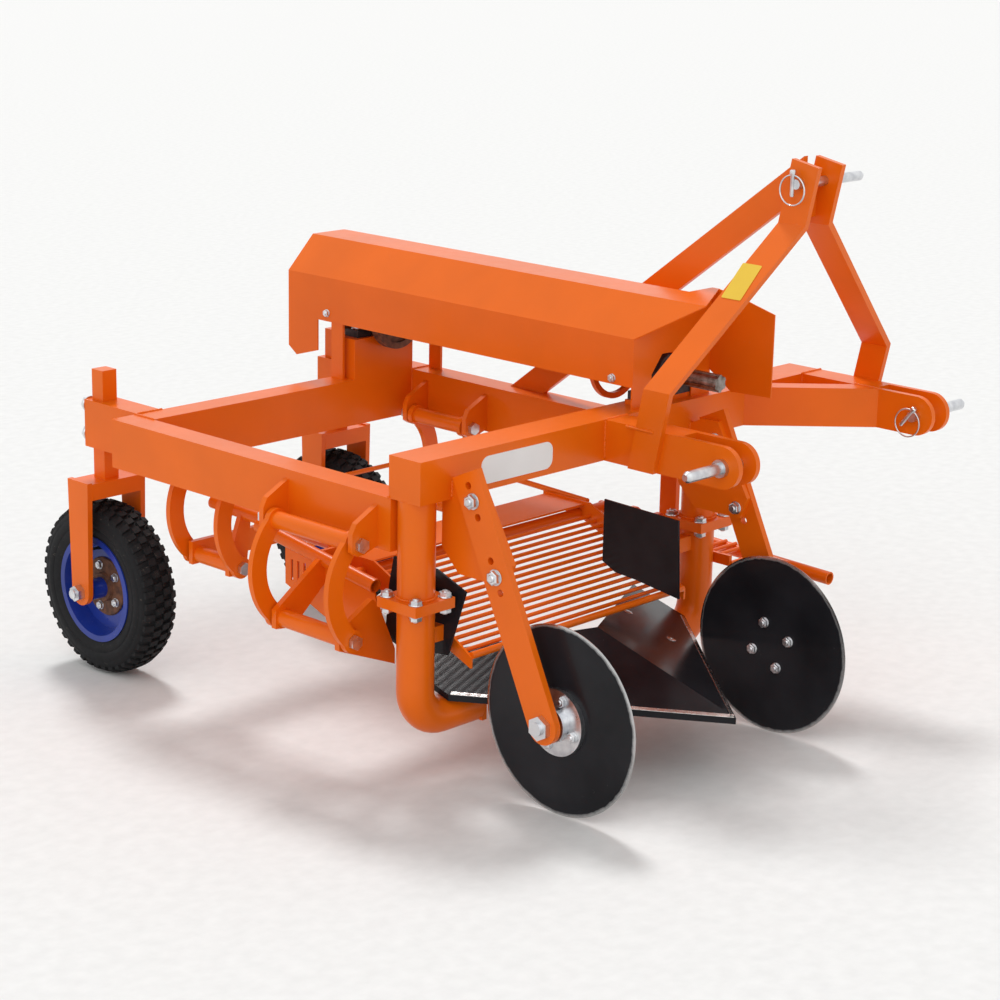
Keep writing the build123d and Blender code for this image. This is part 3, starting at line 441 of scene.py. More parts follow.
def close_tree(graph, source, entry, last):
    """Realizes the instances and sets the material."""
    real = graph.add("GeometryNodeRealizeInstances")
    dress = graph.add("GeometryNodeSetMaterial")
    graph.put(source, real.inputs["Geometry"])
    graph.put(real.outputs["Geometry"], dress.inputs["Geometry"])
    graph.put(entry.outputs["Finish"], dress.inputs["Material"])
    graph.put(dress.outputs["Geometry"], last.inputs["Geometry"])


def fitting_tree():
    """A fitting on every point, turned along the point's axis and sized by its size."""
    inputs = (("Fitting", "NodeSocketObject"), ("Scale", "NodeSocketFloat"), ("Finish", "NodeSocketMaterial"))
    tree, graph, entry, last, keys = new_tree("fittings_on_points", inputs)
    info = graph.add("GeometryNodeObjectInfo", transform_space="ORIGINAL")
    graph.put(entry.outputs["Fitting"], info.inputs["Object"])
    way = graph.add("GeometryNodeInputNamedAttribute", data_type="FLOAT_VECTOR")
    way.inputs["Name"].default_value = "way"
    size = graph.add("GeometryNodeInputNamedAttribute", data_type="FLOAT")
    size.inputs["Name"].default_value = "size"
    align = graph.add("FunctionNodeAlignRotationToVector", axis="Z")
    graph.put(way.outputs["Attribute"], align.inputs["Vector"])
    scaled = graph.math("MULTIPLY", size.outputs["Attribute"], entry.outputs["Scale"])
    place = graph.add("GeometryNodeInstanceOnPoints")
    graph.put(entry.outputs["Geometry"], place.inputs["Points"])
    graph.put(info.outputs["Geometry"], place.inputs["Instance"])
    graph.put(align.outputs["Rotation"], place.inputs["Rotation"])
    graph.put(scaled, place.inputs["Scale"])
    close_tree(graph, place.outputs["Instances"], entry, last)
    return tree, keys


def bead_tree():
    """Weld ripples along every edge, a little uneven."""
    inputs = (
        ("Pitch", "NodeSocketFloat"),
        ("Radius", "NodeSocketFloat"),
        ("Seed", "NodeSocketInt"),
        ("Finish", "NodeSocketMaterial"),
    )
    tree, graph, entry, last, keys = new_tree("weld_beads", inputs)
    curve = graph.add("GeometryNodeMeshToCurve")
    graph.put(entry.outputs["Geometry"], curve.inputs["Mesh"])
    spaced = graph.add("GeometryNodeResampleCurve", mode="LENGTH")
    graph.put(curve.outputs["Curve"], spaced.inputs["Curve"])
    graph.put(entry.outputs["Pitch"], spaced.inputs["Length"])
    drop = graph.add("GeometryNodeMeshIcoSphere")
    drop.inputs["Subdivisions"].default_value = 2
    graph.put(entry.outputs["Radius"], drop.inputs["Radius"])
    uneven = graph.add("FunctionNodeRandomValue", data_type="FLOAT")
    uneven.inputs[2].default_value = 0.82
    uneven.inputs[3].default_value = 1.12
    graph.put(entry.outputs["Seed"], uneven.inputs["Seed"])
    place = graph.add("GeometryNodeInstanceOnPoints")
    graph.put(spaced.outputs["Curve"], place.inputs["Points"])
    graph.put(drop.outputs["Mesh"], place.inputs["Instance"])
    graph.put(uneven.outputs[1], place.inputs["Scale"])
    close_tree(graph, place.outputs["Instances"], entry, last)
    return tree, keys


def ring_tree():
    """Copies of one block, drawn at its own radius, round an axle that lies along X."""
    inputs = (
        ("Block", "NodeSocketObject"),
        ("Count", "NodeSocketInt"),
        ("Centre", "NodeSocketVector"),
        ("Finish", "NodeSocketMaterial"),
    )
    tree, graph, entry, last, keys = new_tree("blocks_round_axle", inputs)
    info = graph.add("GeometryNodeObjectInfo", transform_space="ORIGINAL")
    graph.put(entry.outputs["Block"], info.inputs["Object"])
    points = graph.add("GeometryNodePoints")
    graph.put(entry.outputs["Count"], points.inputs["Count"])
    index = graph.add("GeometryNodeInputIndex").outputs["Index"]
    share_of_turn = graph.math("DIVIDE", index, entry.outputs["Count"])
    angle = graph.math("MULTIPLY", share_of_turn, 2 * math.pi)
    seat = graph.add("GeometryNodeSetPosition")
    graph.put(points.outputs["Points"], seat.inputs["Geometry"])
    graph.put(entry.outputs["Centre"], seat.inputs["Position"])
    turn = graph.add("ShaderNodeCombineXYZ")
    graph.put(angle, turn.inputs["X"])
    place = graph.add("GeometryNodeInstanceOnPoints")
    graph.put(seat.outputs["Geometry"], place.inputs["Points"])
    graph.put(info.outputs["Geometry"], place.inputs["Instance"])
    graph.put(turn.outputs["Vector"], place.inputs["Rotation"])
    close_tree(graph, place.outputs["Instances"], entry, last)
    return tree, keys


def grow(name, base_mesh, tree, keys, values):
    """Runs a tree on a base mesh and keeps the result as a plain mesh."""
    carrier = new_object(name + "_base", base_mesh)
    modifier = carrier.modifiers.new("grow", "NODES")
    modifier.node_group = tree
    for label, value in values.items():
        modifier[keys[label]] = value
    graph = bpy.context.evaluated_depsgraph_get()
    graph.update()
    grown = carrier.evaluated_get(graph)
    mesh = bpy.data.meshes.new_from_object(grown, preserve_all_data_layers=True, depsgraph=graph)
    carrier.modifiers.remove(modifier)
    bpy.data.objects.remove(carrier)
    if not mesh.polygons:
        raise RuntimeError(f"{name} grew nothing")
    mesh.name = name
    return new_object(name, mesh)


def fitting_points(name, rows):
    """Points with a way and a size each."""
    mesh = bpy.data.meshes.new(name)
    mesh.from_pydata([tuple(level(*row[0])) for row in rows], [], [])
    mesh.attributes.new("way", "FLOAT_VECTOR", "POINT")
    mesh.attributes.new("size", "FLOAT", "POINT")
    for index, row in enumerate(rows):
        mesh.attributes["way"].data[index].vector = turned_down(row[1])
        mesh.attributes["size"].data[index].value = row[2]
    return mesh


# M10 washer, hexagon and bolt end, in metres
WASHER_THICK = 0.0018
WASHER_RADIUS = 0.011
HEX_HEIGHT = 0.0065
HEX_CORNER = 0.0098
THREAD_RADIUS = 0.005


def bolt_template(thread):
    """An M10 washer, a chamfered hexagon and the bolt's end, standing on its seat."""
    shape = bmesh.new()
    zero = Vector((0, 0, 0))
    rim = WASHER_RADIUS - 0.0005
    washer = [(0, 0), (0, rim), (0.0008, WASHER_RADIUS), (WASHER_THICK, rim), (WASHER_THICK, 0)]
    lathe(shape, washer, zero, Z_UP, 24)
    top = WASHER_THICK + HEX_HEIGHT
    hexagon = [
        (WASHER_THICK, 0),
        (WASHER_THICK, HEX_CORNER),
        (top - 0.001, HEX_CORNER),
        (top, HEX_CORNER - 0.0017),
        (top, 0),
    ]
    lathe(shape, hexagon, zero, Z_UP, 6)
    end = HEX_HEIGHT + thread
    bolt = [
        (HEX_HEIGHT, 0),
        (HEX_HEIGHT, THREAD_RADIUS),
        (end - 0.001, THREAD_RADIUS),
        (end, THREAD_RADIUS - 0.001),
        (end, 0),
    ]
    lathe(shape, bolt, zero, Z_UP, 16)
    return finish_piece(shape, "bolt_template", "zinc", 25.0)


def grow_bolts(name, rows, template, tree, keys):
    """Zinc bolts on a list of seats."""
    values = {"Fitting": template, "Scale": 1.0, "Finish": MATERIALS["zinc"]}
    return grow(name, fitting_points(name + "_points", rows), tree, keys, values)


# ---- bolts of the frame and the discs, in level millimetres ---------------------------------
# share legs: X and Y of each, height and half thickness of the joined flanges, bolts off centre
LEGS = ((34, -38), (838, -38))
LEG_FLANGE_Z = 400
LEG_FLANGE_HALF = 10
LEG_BOLT_REACH = 37
# disc arms: X of each bolt head's seat and the way from it to the nut, the arm's line, the bolts
# along it and how far the nut's seat lies from the head's
DISC_ARMS = ((67, 1), (773, -1))
ARM_TOP = Vector((0, -123, 651))
ARM_RUN = Vector((0, -207, -446)).normalized()
ARM_BOLTS = (52, 192)
ARM_GRIP = 25
# X and Z of the drive shaft, then the bolts of its two bearings
SHAFT = (712, 727)
BEARING_Y = (-36, 776)
BEARING_BOLT_REACH = 66
BEARING_BOLT_SEAT = 698
# clamp bolts behind the wheel sleeves
SLEEVE_BOLT_X = (82, 764)
SLEEVE_BOLT_Z = (518, 580)
SLEEVE_REAR = 985
# seat of each cover screw and the way that its head looks
COVER_SCREWS = (
    ((590, -9, 728), X_RIGHT),
    ((590, 812, 734), X_RIGHT),
    ((827.8, 812, 734), X_LEFT),
)
# discs: Y and Z of the centre and the radius of the bolts' circle
DISC_CENTRE = (-323, 228)
DISC_BOLT_CIRCLE = 46
# X, way and first bolt's angle on the disc's face, then the same on the hub flange
DISC_FACES = {
    "right_disc": ((116, 1, 20), (102, -1, 20)),
    "left_disc": ((724, -1, 68), (738, 1, 68)),
}


def frame_bolts():
    """Seat, way and size of each bolt or nut that the frame carries, where size 1 is M10."""
    rows = []
    for x, y in LEGS:
        for dx in (-LEG_BOLT_REACH, LEG_BOLT_REACH):
            for dy in (-LEG_BOLT_REACH, LEG_BOLT_REACH):
                rows.append(((x + dx, y + dy, LEG_FLANGE_Z + LEG_FLANGE_HALF), Z_UP, 1.2))
                rows.append(((x + dx, y + dy, LEG_FLANGE_Z - LEG_FLANGE_HALF), Z_DOWN, 1.2))
    for x, way in DISC_ARMS:
        for along in ARM_BOLTS:
            seat = ARM_TOP + ARM_RUN * along
            rows.append(((x, seat.y, seat.z), (-way, 0, 0), 1.4))
            rows.append(((x + way * ARM_GRIP, seat.y, seat.z), (way, 0, 0), 1.2))
    for y in BEARING_Y:
        for dx in (-BEARING_BOLT_REACH, BEARING_BOLT_REACH):
            rows.append(((SHAFT[0] + dx, y, BEARING_BOLT_SEAT), Z_UP, 1.2))
    for x in SLEEVE_BOLT_X:
        for z in SLEEVE_BOLT_Z:
            rows.append(((x, SLEEVE_REAR, z), Y_REAR, 1.6))
    for seat, way in COVER_SCREWS:
        rows.append((seat, way, 0.8))
    return rows


def disc_bolts(face_x, way, first):
    """Four bolts on a flat face, the first at an angle in degrees."""
    rows = []
    for dy, dz in round_circle(DISC_BOLT_CIRCLE, 4, first):
        rows.append(((face_x, DISC_CENTRE[0] + dy, DISC_CENTRE[1] + dz), (way, 0, 0), 1.0))
    return rows


# ---- welds, in level millimetres ------------------------------------------------------------
# ring round each share leg, above and below its flanges
LEG_WELD_RADIUS = 36
LEG_WELD_RISE = 11
# start and end of each straight weld
FRAME_WELDS = [
    ((0, 0, 595), (60, 0, 595)),
    ((786, 0, 595), (846, 0, 595)),
    ((60, 2, 500), (60, 2, 588)),
    ((60, 746, 593), (60, 806, 593)),
    ((60, 746, 500), (60, 746, 588)),
    ((786, 746, 593), (846, 746, 593)),
    ((786, 746, 500), (786, 746, 588)),
    ((67, 806, 593), (127, 806, 593)),
    ((719, 806, 593), (779, 806, 593)),
    ((492.3, -80, 600), (492.3, -80, 668)),
    ((555.3, -80, 600), (555.3, -80, 668)),
    ((1112.3, -80, 600), (1112.3, -80, 668)),
    ((492.3, -80, 673), (555.3, -80, 673)),
    ((1112.3, -80, 673), (1175.3, -80, 673)),
    ((920, -80, 673), (976, -80, 673)),
    ((1112.3, -272, 673), (1112.3, -216, 673)),
    ((480.3, -206, 673), (480.3, -144, 673)),
    ((827.8, 480, 593), (839.8, 480, 593)),
    ((80, -80, 600), (80, -80, 624)),
    ((92, -80, 600), (92, -80, 624)),
    ((748, -80, 600), (748, -80, 624)),
    ((760, -80, 600), (760, -80, 624)),
]


def leg_weld_ring(x, y, z):
    """Closed ring of weld points round a leg."""
    ring = round_circle(LEG_WELD_RADIUS, 40)
    return [(x + dx, y + dy, z) for dx, dy in ring + ring[:1]]


def polyline_mesh(name, lines):
    """Mesh of edges along lines of level points."""
    verts, edges = [], []
    for line in lines:
        first = len(verts)
        verts.extend(tuple(level(*point)) for point in line)
        edges.extend((first + index, first + index + 1) for index in range(len(line) - 1))
    mesh = bpy.data.meshes.new(name)
    mesh.from_pydata(verts, edges, [])
    return mesh


# ---- tyres and wheels -----------------------------------------------------------------------
# from the bead to the top of the tread, in metres as the rest of the tyre
SECTION_HEIGHT = 0.0805
# one sidewall: how far in from the tyre's side, how far out from the bead
SIDEWALL = (
    (0.011, 0.0),
    (0.007, 0.009),
    (0.004, 0.02),
    (0.0012, 0.03),
    (0.0022, 0.0315),
    (0.0004, 0.034),
    (0.0, 0.041),
    (0.0012, 0.05),
    (0.0024, 0.0515),
    (0.002, 0.0535),
    (0.0045, 0.062),
)
# where the sidewall meets the tread: how far in, how far under the crown
SHOULDER = ((0.012, 0.006), (0.024, 0.0015))
# how far the lugs are sunk under the crown, how much they narrow and how far they lean
LUG_ROOT = 0.012
LUG_TAPER = 0.82
LUG_SKEW = 0.0015
# faces of a lug, its corners numbered by end, then by height, then by side
BOX_FACES = ((0, 1, 3, 2), (4, 6, 7, 5), (0, 4, 5, 1), (2, 3, 7, 6), (0, 2, 6, 4), (1, 5, 7, 3))
# in millimetres: way and place off the wheel's middle of the hub plates and of their bolts, the
# radius of the bolts' circle, and the valve's distance from the axle and off the middle
HUB_PLATES = ((-1, -7.0), (1, 3.0))
HUB_BOLT_SEATS = ((-1, -11.5), (1, 7.5))
HUB_BOLT_CIRCLE = 47
VALVE_RADIUS = 88
VALVE_INSET = 15
# (along, radius) in metres of a hub plate with its boss, and of a valve
HUB_PLATE = [
    (0, 0.022),
    (0, 0.062),
    (0.002, 0.064),
    (0.0045, 0.062),
    (0.006, 0.032),
    (0.014, 0.03),
    (0.014, 0.022),
    (0, 0.022),
]
VALVE = [(0, 0), (0, 0.0045), (0.012, 0.004), (0.013, 0.0028), (0.024, 0.0028), (0.025, 0)]


# ---- linch pins -----------------------------------------------------------------------------
# level millimetres of each ring's centre, how far the pin leans back per unit of height
LINCH_PINS = (
    ((775, -280, 1107), 0.0),
    ((1100, -354, 619), -0.8),
    ((568, -354, 619), 0.3),
)
# radius of a ring in metres, how many millimetres above its centre the pin's middle stands
RING_RADIUS = 0.0285
PIN_RISE = 12
# (along, radius) of a pin in metres
PIN_STEM = [
    (-0.024, 0),
    (-0.024, 0.0035),
    (-0.022, 0.0042),
    (0.016, 0.0042),
    (0.019, 0.006),
    (0.025, 0.006),
    (0.027, 0.004),
    (0.027, 0),
]


# ---- share ----------------------------------------------------------------------------------
# corners of the right wing's top face and the bolts on it, in level millimetres
SHARE_MID = 436
SHARE_TIP = Vector((436, -468, 190))
SHARE_RIDGE = Vector((436, -125, 282))
SHARE_CORNER = Vector((95, -64, 213))
SHARE_BOLTS = ((265, -56), (261, -166))
# (along, radius) of a bolt in metres, sunk in the middle
SHARE_BOLT = [
    (-0.001, 0),
    (-0.001, 0.0098),
    (0.0006, 0.0098),
    (0.0009, 0.009),
    (0.0009, 0.0042),
    (-0.0012, 0.0036),
    (-0.0012, 0),
]
# section in metres of the rubbed strip along the cutting edge, how far it keeps from the ends
# and how far it stands off the share
EDGE_STRIP = [(0.0005, -0.001), (0.011, -0.001), (0.0095, 0.0005), (0.0015, 0.0004)]
EDGE_GAP = 0.004
EDGE_LIFT = 0.0001


def on_wing(point, mirror):
    """A point of the right wing, or its mirror image on the left wing."""
    return Vector((SHARE_MID + (point[0] - SHARE_MID) * mirror, point[1], point[2]))


# ---- blank plate and blank label ------------------------------------------------------------
# level millimetres of the middle, then width, height and corner radius, then metres of sheet
PLATE_MIDDLE = (249, -80, 631)
PLATE_SIZE = (190, 52, 18)
PLATE_THICK = 0.0012
LABEL_MIDDLE = Vector((681, -244, 939))
LABEL_SIZE = (86, 46, 3)
LABEL_THICK = 0.0006
# how the mast leg runs under the label, and how far the label's back stands off it
MAST_RUN = Vector((309.7, 0, 288)).normalized()
LABEL_LIFT = 0.2


# ---- drive shaft ----------------------------------------------------------------------------
# level Y of the front end in millimetres
SHAFT_FRONT = -180
# start and end behind the front end, radius and chamfer, in metres
SHAFT_ROD = (0.108, 1.048, 0.02, 0.001)
SHAFT_COLLAR = (0.169, 0.188, 0.027, 0.0005)
# length of the splined stub, then angle in degrees and radius along one of its teeth
STUB_LENGTH = 0.109
SPLINE_TEETH = 6
SPLINE_TOP, SPLINE_ROOT = 0.0175, 0.0148
SPLINE_TOOTH = (
    (-15, SPLINE_ROOT),
    (-13, SPLINE_TOP),
    (0, SPLINE_TOP),
    (13, SPLINE_TOP),
    (15, SPLINE_ROOT),
    (30, SPLINE_ROOT),
)
# the eccentric's distance off the shaft's axis and level Y in millimetres, its disc in metres
ECCENTRIC_OFFSET = 12
ECCENTRIC_Y = 76
ECCENTRIC = [(0, 0), (0, 0.033), (0.028, 0.033), (0.028, 0)]


# ---- stage ----------------------------------------------------------------------------------
FLOOR_REACH = 60.0
# name, where it shines from, spread in degrees, strength
LAMPS = (
    ("key", (1.0, 1.3, 2.6), 14.0, 1.5),
    ("fill", (-2.4, -1.6, 1.8), 60.0, 0.7),
)
# strength of the sky as a light, and where it is seen
SKY_LIGHT, SKY_SEEN = 0.62, 1.0
# the camera's place and directions in metres, its roll, and its lens and sensor in millimetres
CAMERA_PLACE = (-3.45885, -3.36524, 1.57955)
CAMERA_AHEAD = Vector((0.70049, 0.67211, -0.23998)).normalized()
CAMERA_RIGHT = Vector((0.68709, -0.72604, -0.02784))
CAMERA_ROLL = math.radians(1.2)
FOCAL_LENGTH = 86.45
SENSOR_WIDTH = 36.0


# ---- properties and operators ---------------------------------------------------------------
class DiggerSizes(bpy.types.PropertyGroup):
    """Sizes and colours of the finishes and fittings."""

    orange: bpy.props.FloatVectorProperty(
        name="Frame orange",
        description="Colour of the frame enamel",
        subtype="COLOR",
        default=(0.86, 0.15, 0.003),
        min=0.0,
        max=1.0,
    )
    rim_blue: bpy.props.FloatVectorProperty(
        name="Rim blue",
        description="Colour of the wheel rims",
        subtype="COLOR",
        default=(0.015, 0.045, 0.36),
        min=0.0,
        max=1.0,
    )
    tread_count: bpy.props.IntProperty(
        name="Tread pitches", description="Lug rows round a tyre", default=44, min=12
    )
    tread_depth: bpy.props.FloatProperty(
        name="Tread depth", description="Height of the lugs", default=0.0065, unit="LENGTH"
    )
    bead_pitch: bpy.props.FloatProperty(
        name="Weld pitch", description="Distance between weld ripples", default=0.0035, unit="LENGTH"
    )
    bead_radius: bpy.props.FloatProperty(
        name="Weld radius", description="Radius of a weld ripple", default=0.0032, unit="LENGTH"
    )
    ring_wire: bpy.props.FloatProperty(
        name="Ring wire", description="Radius of the linch pin ring wire", default=0.0016, unit="LENGTH"
    )


class DIGGER_OT_finishes(bpy.types.Operator):
    """Gives every CAD node its finish"""

    bl_idname = "digger.finishes"
    bl_label = "Finishes"

    def execute(self, context):
        make_materials(context.scene.digger)
        done = set()
        for finish, names in NODE_FINISH.items():
            for name in names.split():
                paint(NODES[name], MATERIALS[finish])
                done.add(name)
        for side in SIDES:
            name = f"disc_{side}"
            low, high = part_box(name)
            radius = (high.y - low.y) / 2
            paint(NODES[name], worn_black(f"disc_enamel_{side}", (low + high) / 2, radius))
            done.add(name)
        low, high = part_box("disc_arms")
        half = (high.x - low.x) / 2 - NUT_REACH
        mid = (high.x + low.x) / 2
        orange = tuple(context.scene.digger.orange)
        paint(NODES["disc_arms"], nutted_enamel("disc_arm_enamel", orange, mid, half))
        done.add("disc_arms")
        left_out = sorted(set(NODES) - done)
        if left_out:
            raise RuntimeError(f"no finish for {left_out}")
        return {"FINISHED"}


class DIGGER_OT_bolts(bpy.types.Operator):
    """Bolts and nuts of the frame and the discs"""

    bl_idname = "digger.bolts"
    bl_label = "Bolts"

    def execute(self, context):
        tree, keys = fitting_tree()
        template = bolt_template(0.004)
        sets = {"frame": ("frame_bolts", frame_bolts())}
        for body, (disc_face, hub_face) in DISC_FACES.items():
            rows = disc_bolts(*disc_face) + disc_bolts(*hub_face)
            sets[body] = (f"{body}_bolts", rows)
        for body, (name, rows) in sets.items():
            obj = grow_bolts(name, rows, template, tree, keys)
            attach(obj, body)
        bpy.data.objects.remove(template)
        return {"FINISHED"}


class DIGGER_OT_welds(bpy.types.Operator):
    """Weld beads where the frame members meet"""

    bl_idname = "digger.welds"
    bl_label = "Weld beads"

    def execute(self, context):
        sizes = context.scene.digger
        lines = list(FRAME_WELDS)
        for x, y in LEGS:
            lines.append(leg_weld_ring(x, y, LEG_FLANGE_Z + LEG_WELD_RISE))
            lines.append(leg_weld_ring(x, y, LEG_FLANGE_Z - LEG_WELD_RISE))
        tree, keys = bead_tree()
        values = {
            "Pitch": sizes.bead_pitch,
            "Radius": sizes.bead_radius,
            "Seed": 7,
            "Finish": MATERIALS["orange"],
        }
        obj = grow("frame_welds", polyline_mesh("weld_lines", lines), tree, keys, values)
        obj.data.shade_smooth()
        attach(obj, "frame")
        return {"FINISHED"}


class DIGGER_OT_tyres(bpy.types.Operator):
    """Tyres with ribbed sidewalls and a block tread"""

    bl_idname = "digger.tyres"
    bl_label = "Tyres"

    def execute(self, context):
        sizes = context.scene.digger
        tree, keys = ring_tree()
        for side in SIDES:
            low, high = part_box(f"tyre_{side}")
            centre = (low + high) / 2
            outer = (high.y - low.y) / 2
            half = (high.x - low.x) / 2
            crown = outer - sizes.tread_depth
            bead = outer - SECTION_HEIGHT
            profile = [(-half + inward, bead + rise) for inward, rise in SIDEWALL]
            profile += [(-half + inward, crown - drop) for inward, drop in SHOULDER]
            profile.append((0, crown))
            mirrored = [(-along, radius) for along, radius in reversed(profile[:-1])]
            shape = bmesh.new()
            lathe(shape, profile + mirrored + [profile[0]], centre, (1, 0, 0), 96)
            carcass = finish_piece(shape, f"tyre_carcass_{side}", "rubber", 60.0)
            block = self.pitch_block(outer, crown, half, sizes.tread_count)
            values = {
                "Block": block,
                "Count": sizes.tread_count,
                "Centre": centre,
                "Finish": MATERIALS["rubber"],
            }
            seed = bpy.data.meshes.new("tread_seed")
            tread = grow(f"tyre_tread_{side}", seed, tree, keys, values)
            bpy.data.objects.remove(block)
            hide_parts(f"tyre_{side}")
            for obj in (carcass, tread):
                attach(obj, f"{side}_wheel")
        return {"FINISHED"}

    @staticmethod
    def pitch_block(outer, crown, half, count):
        """One pitch of the tread: two offset centre blocks and two shoulder lugs."""
        shape = bmesh.new()
        pitch = 2 * math.pi * outer / count
        # X range, offset in pitches round the tyre, share of a pitch, drop of the top at each end
        lugs = [
            (-half + 0.006, -half + 0.024, 0.0, 0.62, 0.0095, 0.0016),
            (-half + 0.026, -0.0015, 0.5, 0.66, 0.0012, 0.0),
            (0.0015, half - 0.026, 0.0, 0.66, 0.0, 0.0012),
            (half - 0.024, half - 0.006, 0.5, 0.62, 0.0016, 0.0095),
        ]
        for x0, x1, offset, fill, drop0, drop1 in lugs:
            run = pitch * fill / 2
            shift = (offset - 0.25) * pitch
            verts = []
            for x, drop, skew in ((x0, drop0, -LUG_SKEW), (x1, drop1, LUG_SKEW)):
                for height, taper in ((crown - LUG_ROOT, 1.0), (outer - drop, LUG_TAPER)):
                    for way in (-1, 1):
                        angle = (shift + skew + way * run * taper) / outer
                        place = (x, height * math.sin(angle), height * math.cos(angle))
                        verts.append(shape.verts.new(place))
            for corners in BOX_FACES:
                shape.faces.new([verts[corner] for corner in corners])
        return finish_piece(shape, "tread_block", "rubber", 20.0)


class DIGGER_OT_wheels(bpy.types.Operator):
    """Rusty hub plates, hub bolts and valves of the wheels"""

    bl_idname = "digger.wheels"
    bl_label = "Wheel hubs"

    def execute(self, context):
        tree, keys = fitting_tree()
        template = bolt_template(0.003)
        axle_y, axle_z = WHEEL_CENTRE
        for side, mid_x in WHEELS.items():
            body = f"{side}_wheel"
            shape = bmesh.new()
            for way, face in HUB_PLATES:
                lathe(shape, HUB_PLATE, level(mid_x + face, axle_y, axle_z), (way, 0, 0), 64)
            plate = finish_piece(shape, f"hub_plate_{side}", "rust")
            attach(plate, body)
            rows = []
            for way, face in HUB_BOLT_SEATS:
                for dy, dz in round_circle(HUB_BOLT_CIRCLE, 5):
                    rows.append(((mid_x + face, axle_y + dy, axle_z + dz), (way, 0, 0), 0.9))
            bolts = grow_bolts(f"hub_bolts_{side}", rows, template, tree, keys)
            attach(bolts, body)
            shape = bmesh.new()
            lathe(shape, VALVE, level(mid_x - VALVE_INSET, axle_y, axle_z + VALVE_RADIUS), X_RIGHT, 16)
            valve = finish_piece(shape, f"valve_{side}", "rubber")
            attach(valve, body)
        bpy.data.objects.remove(template)
        return {"FINISHED"}


class DIGGER_OT_pins(bpy.types.Operator):
    """Linch pins with their rings"""

    bl_idname = "digger.pins"
    bl_label = "Linch pins"

    def execute(self, context):
        wire = round_circle(context.scene.digger.ring_wire, 12)
        section = [(across, RING_RADIUS + out) for out, across in wire + wire[:1]]
        shape = bmesh.new()
        for (x, y, z), lean in LINCH_PINS:
            lathe(shape, section, level(x, y, z), X_LEFT, 48)
            lathe(shape, PIN_STEM, level(x, y, z + PIN_RISE), turned_down((0, lean, 1)), 20)
        pins = finish_piece(shape, "linch_pins", "zinc", 40.0)
        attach(pins, "frame")
        return {"FINISHED"}


class DIGGER_OT_share_bolts(bpy.types.Operator):
    """Countersunk share bolts, worn bright, and the rubbed share edges"""

    bl_idname = "digger.share_bolts"
    bl_label = "Share bolts and edges"

    def execute(self, context):
        normal = (SHARE_TIP - SHARE_CORNER).cross(SHARE_RIDGE - SHARE_CORNER).normalized()
        if normal.z < 0:
            normal = -normal
        shape = bmesh.new()
        for mirror in (1, -1):
            way = turned_down((normal.x * mirror, normal.y, normal.z))
            for x, y in SHARE_BOLTS:
                slide = (x - SHARE_CORNER.x) * normal.x + (y - SHARE_CORNER.y) * normal.y
                seat = (x, y, SHARE_CORNER.z - slide / normal.z)
                lathe(shape, SHARE_BOLT, level(*on_wing(seat, mirror)), way, 32)
        bolts = finish_piece(shape, "share_bolts", "worn_steel")
        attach(bolts, "frame")
        shape = bmesh.new()
        for mirror in (1, -1):
            tip = on_wing(SHARE_TIP, mirror)
            run = on_wing(SHARE_CORNER, mirror) - tip
            along = turned_down(run).normalized()
            up = turned_down((normal.x * mirror, normal.y, normal.z)).normalized()
            inward = along.cross(up).normalized()
            if inward.y < 0:
                inward = -inward
            start = level(*tip) + along * EDGE_GAP + up * EDGE_LIFT
            prism(shape, EDGE_STRIP, start, inward, up, along, run.length * MM - 2 * EDGE_GAP)
        edges = finish_piece(shape, "share_edges", "worn_steel")
        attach(edges, "frame")
        return {"FINISHED"}


class DIGGER_OT_plates(bpy.types.Operator):
    """Blank plate on the front beam and blank label on the mast leg"""

    bl_idname = "digger.plates"
    bl_label = "Blank plates"

    def execute(self, context):
        shape = bmesh.new()
        side, up, out = turned_down((1, 0, 0)), turned_down((0, 0, 1)), turned_down((0, -1, 0))
        prism(shape, rounded(*PLATE_SIZE), level(*PLATE_MIDDLE), side, up, out, PLATE_THICK)
        plate = finish_piece(shape, "blank_plate", "white")
        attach(plate, "frame")
        shape = bmesh.new()
        # up the mast leg's slope, then square to its upper face
        rise = turned_down(MAST_RUN)
        out = Vector((-MAST_RUN.z, 0, MAST_RUN.x))
        centre = level(*(LABEL_MIDDLE + out * LABEL_LIFT))
        across = turned_down((0, 1, 0))
        prism(shape, rounded(*LABEL_SIZE), centre, rise, across, turned_down(out), LABEL_THICK)
        label = finish_piece(shape, "blank_label", "yellow")
        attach(label, "frame")
        return {"FINISHED"}


class DIGGER_OT_shaft(bpy.types.Operator):
    """Drive shaft with its splined stub and eccentric"""

    bl_idname = "digger.shaft"
    bl_label = "Drive shaft"

    def execute(self, context):
        shape = bmesh.new()
        side, along, up = turned_down((1, 0, 0)), turned_down((0, 1, 0)), turned_down((0, 0, 1))
        front = level(SHAFT[0], SHAFT_FRONT, SHAFT[1])
        lathe(shape, chamfered(*SHAFT_ROD), front, along, 64)
        lathe(shape, chamfered(*SHAFT_COLLAR), front, along, 48)
        lathe(shape, ECCENTRIC, level(SHAFT[0] + ECCENTRIC_OFFSET, ECCENTRIC_Y, SHAFT[1]), along, 64)
        outline = []
        for tooth in range(SPLINE_TEETH):
            for angle, radius in SPLINE_TOOTH:
                turn = math.radians(360 / SPLINE_TEETH * tooth + angle)
                outline.append((radius * math.cos(turn), radius * math.sin(turn)))
        prism(shape, outline, front, up, side, along, STUB_LENGTH)
        shaft = finish_piece(shape, "splined_shaft", "steel")
        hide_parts("drive_shaft")
        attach(shaft, "shaft")
        return {"FINISHED"}


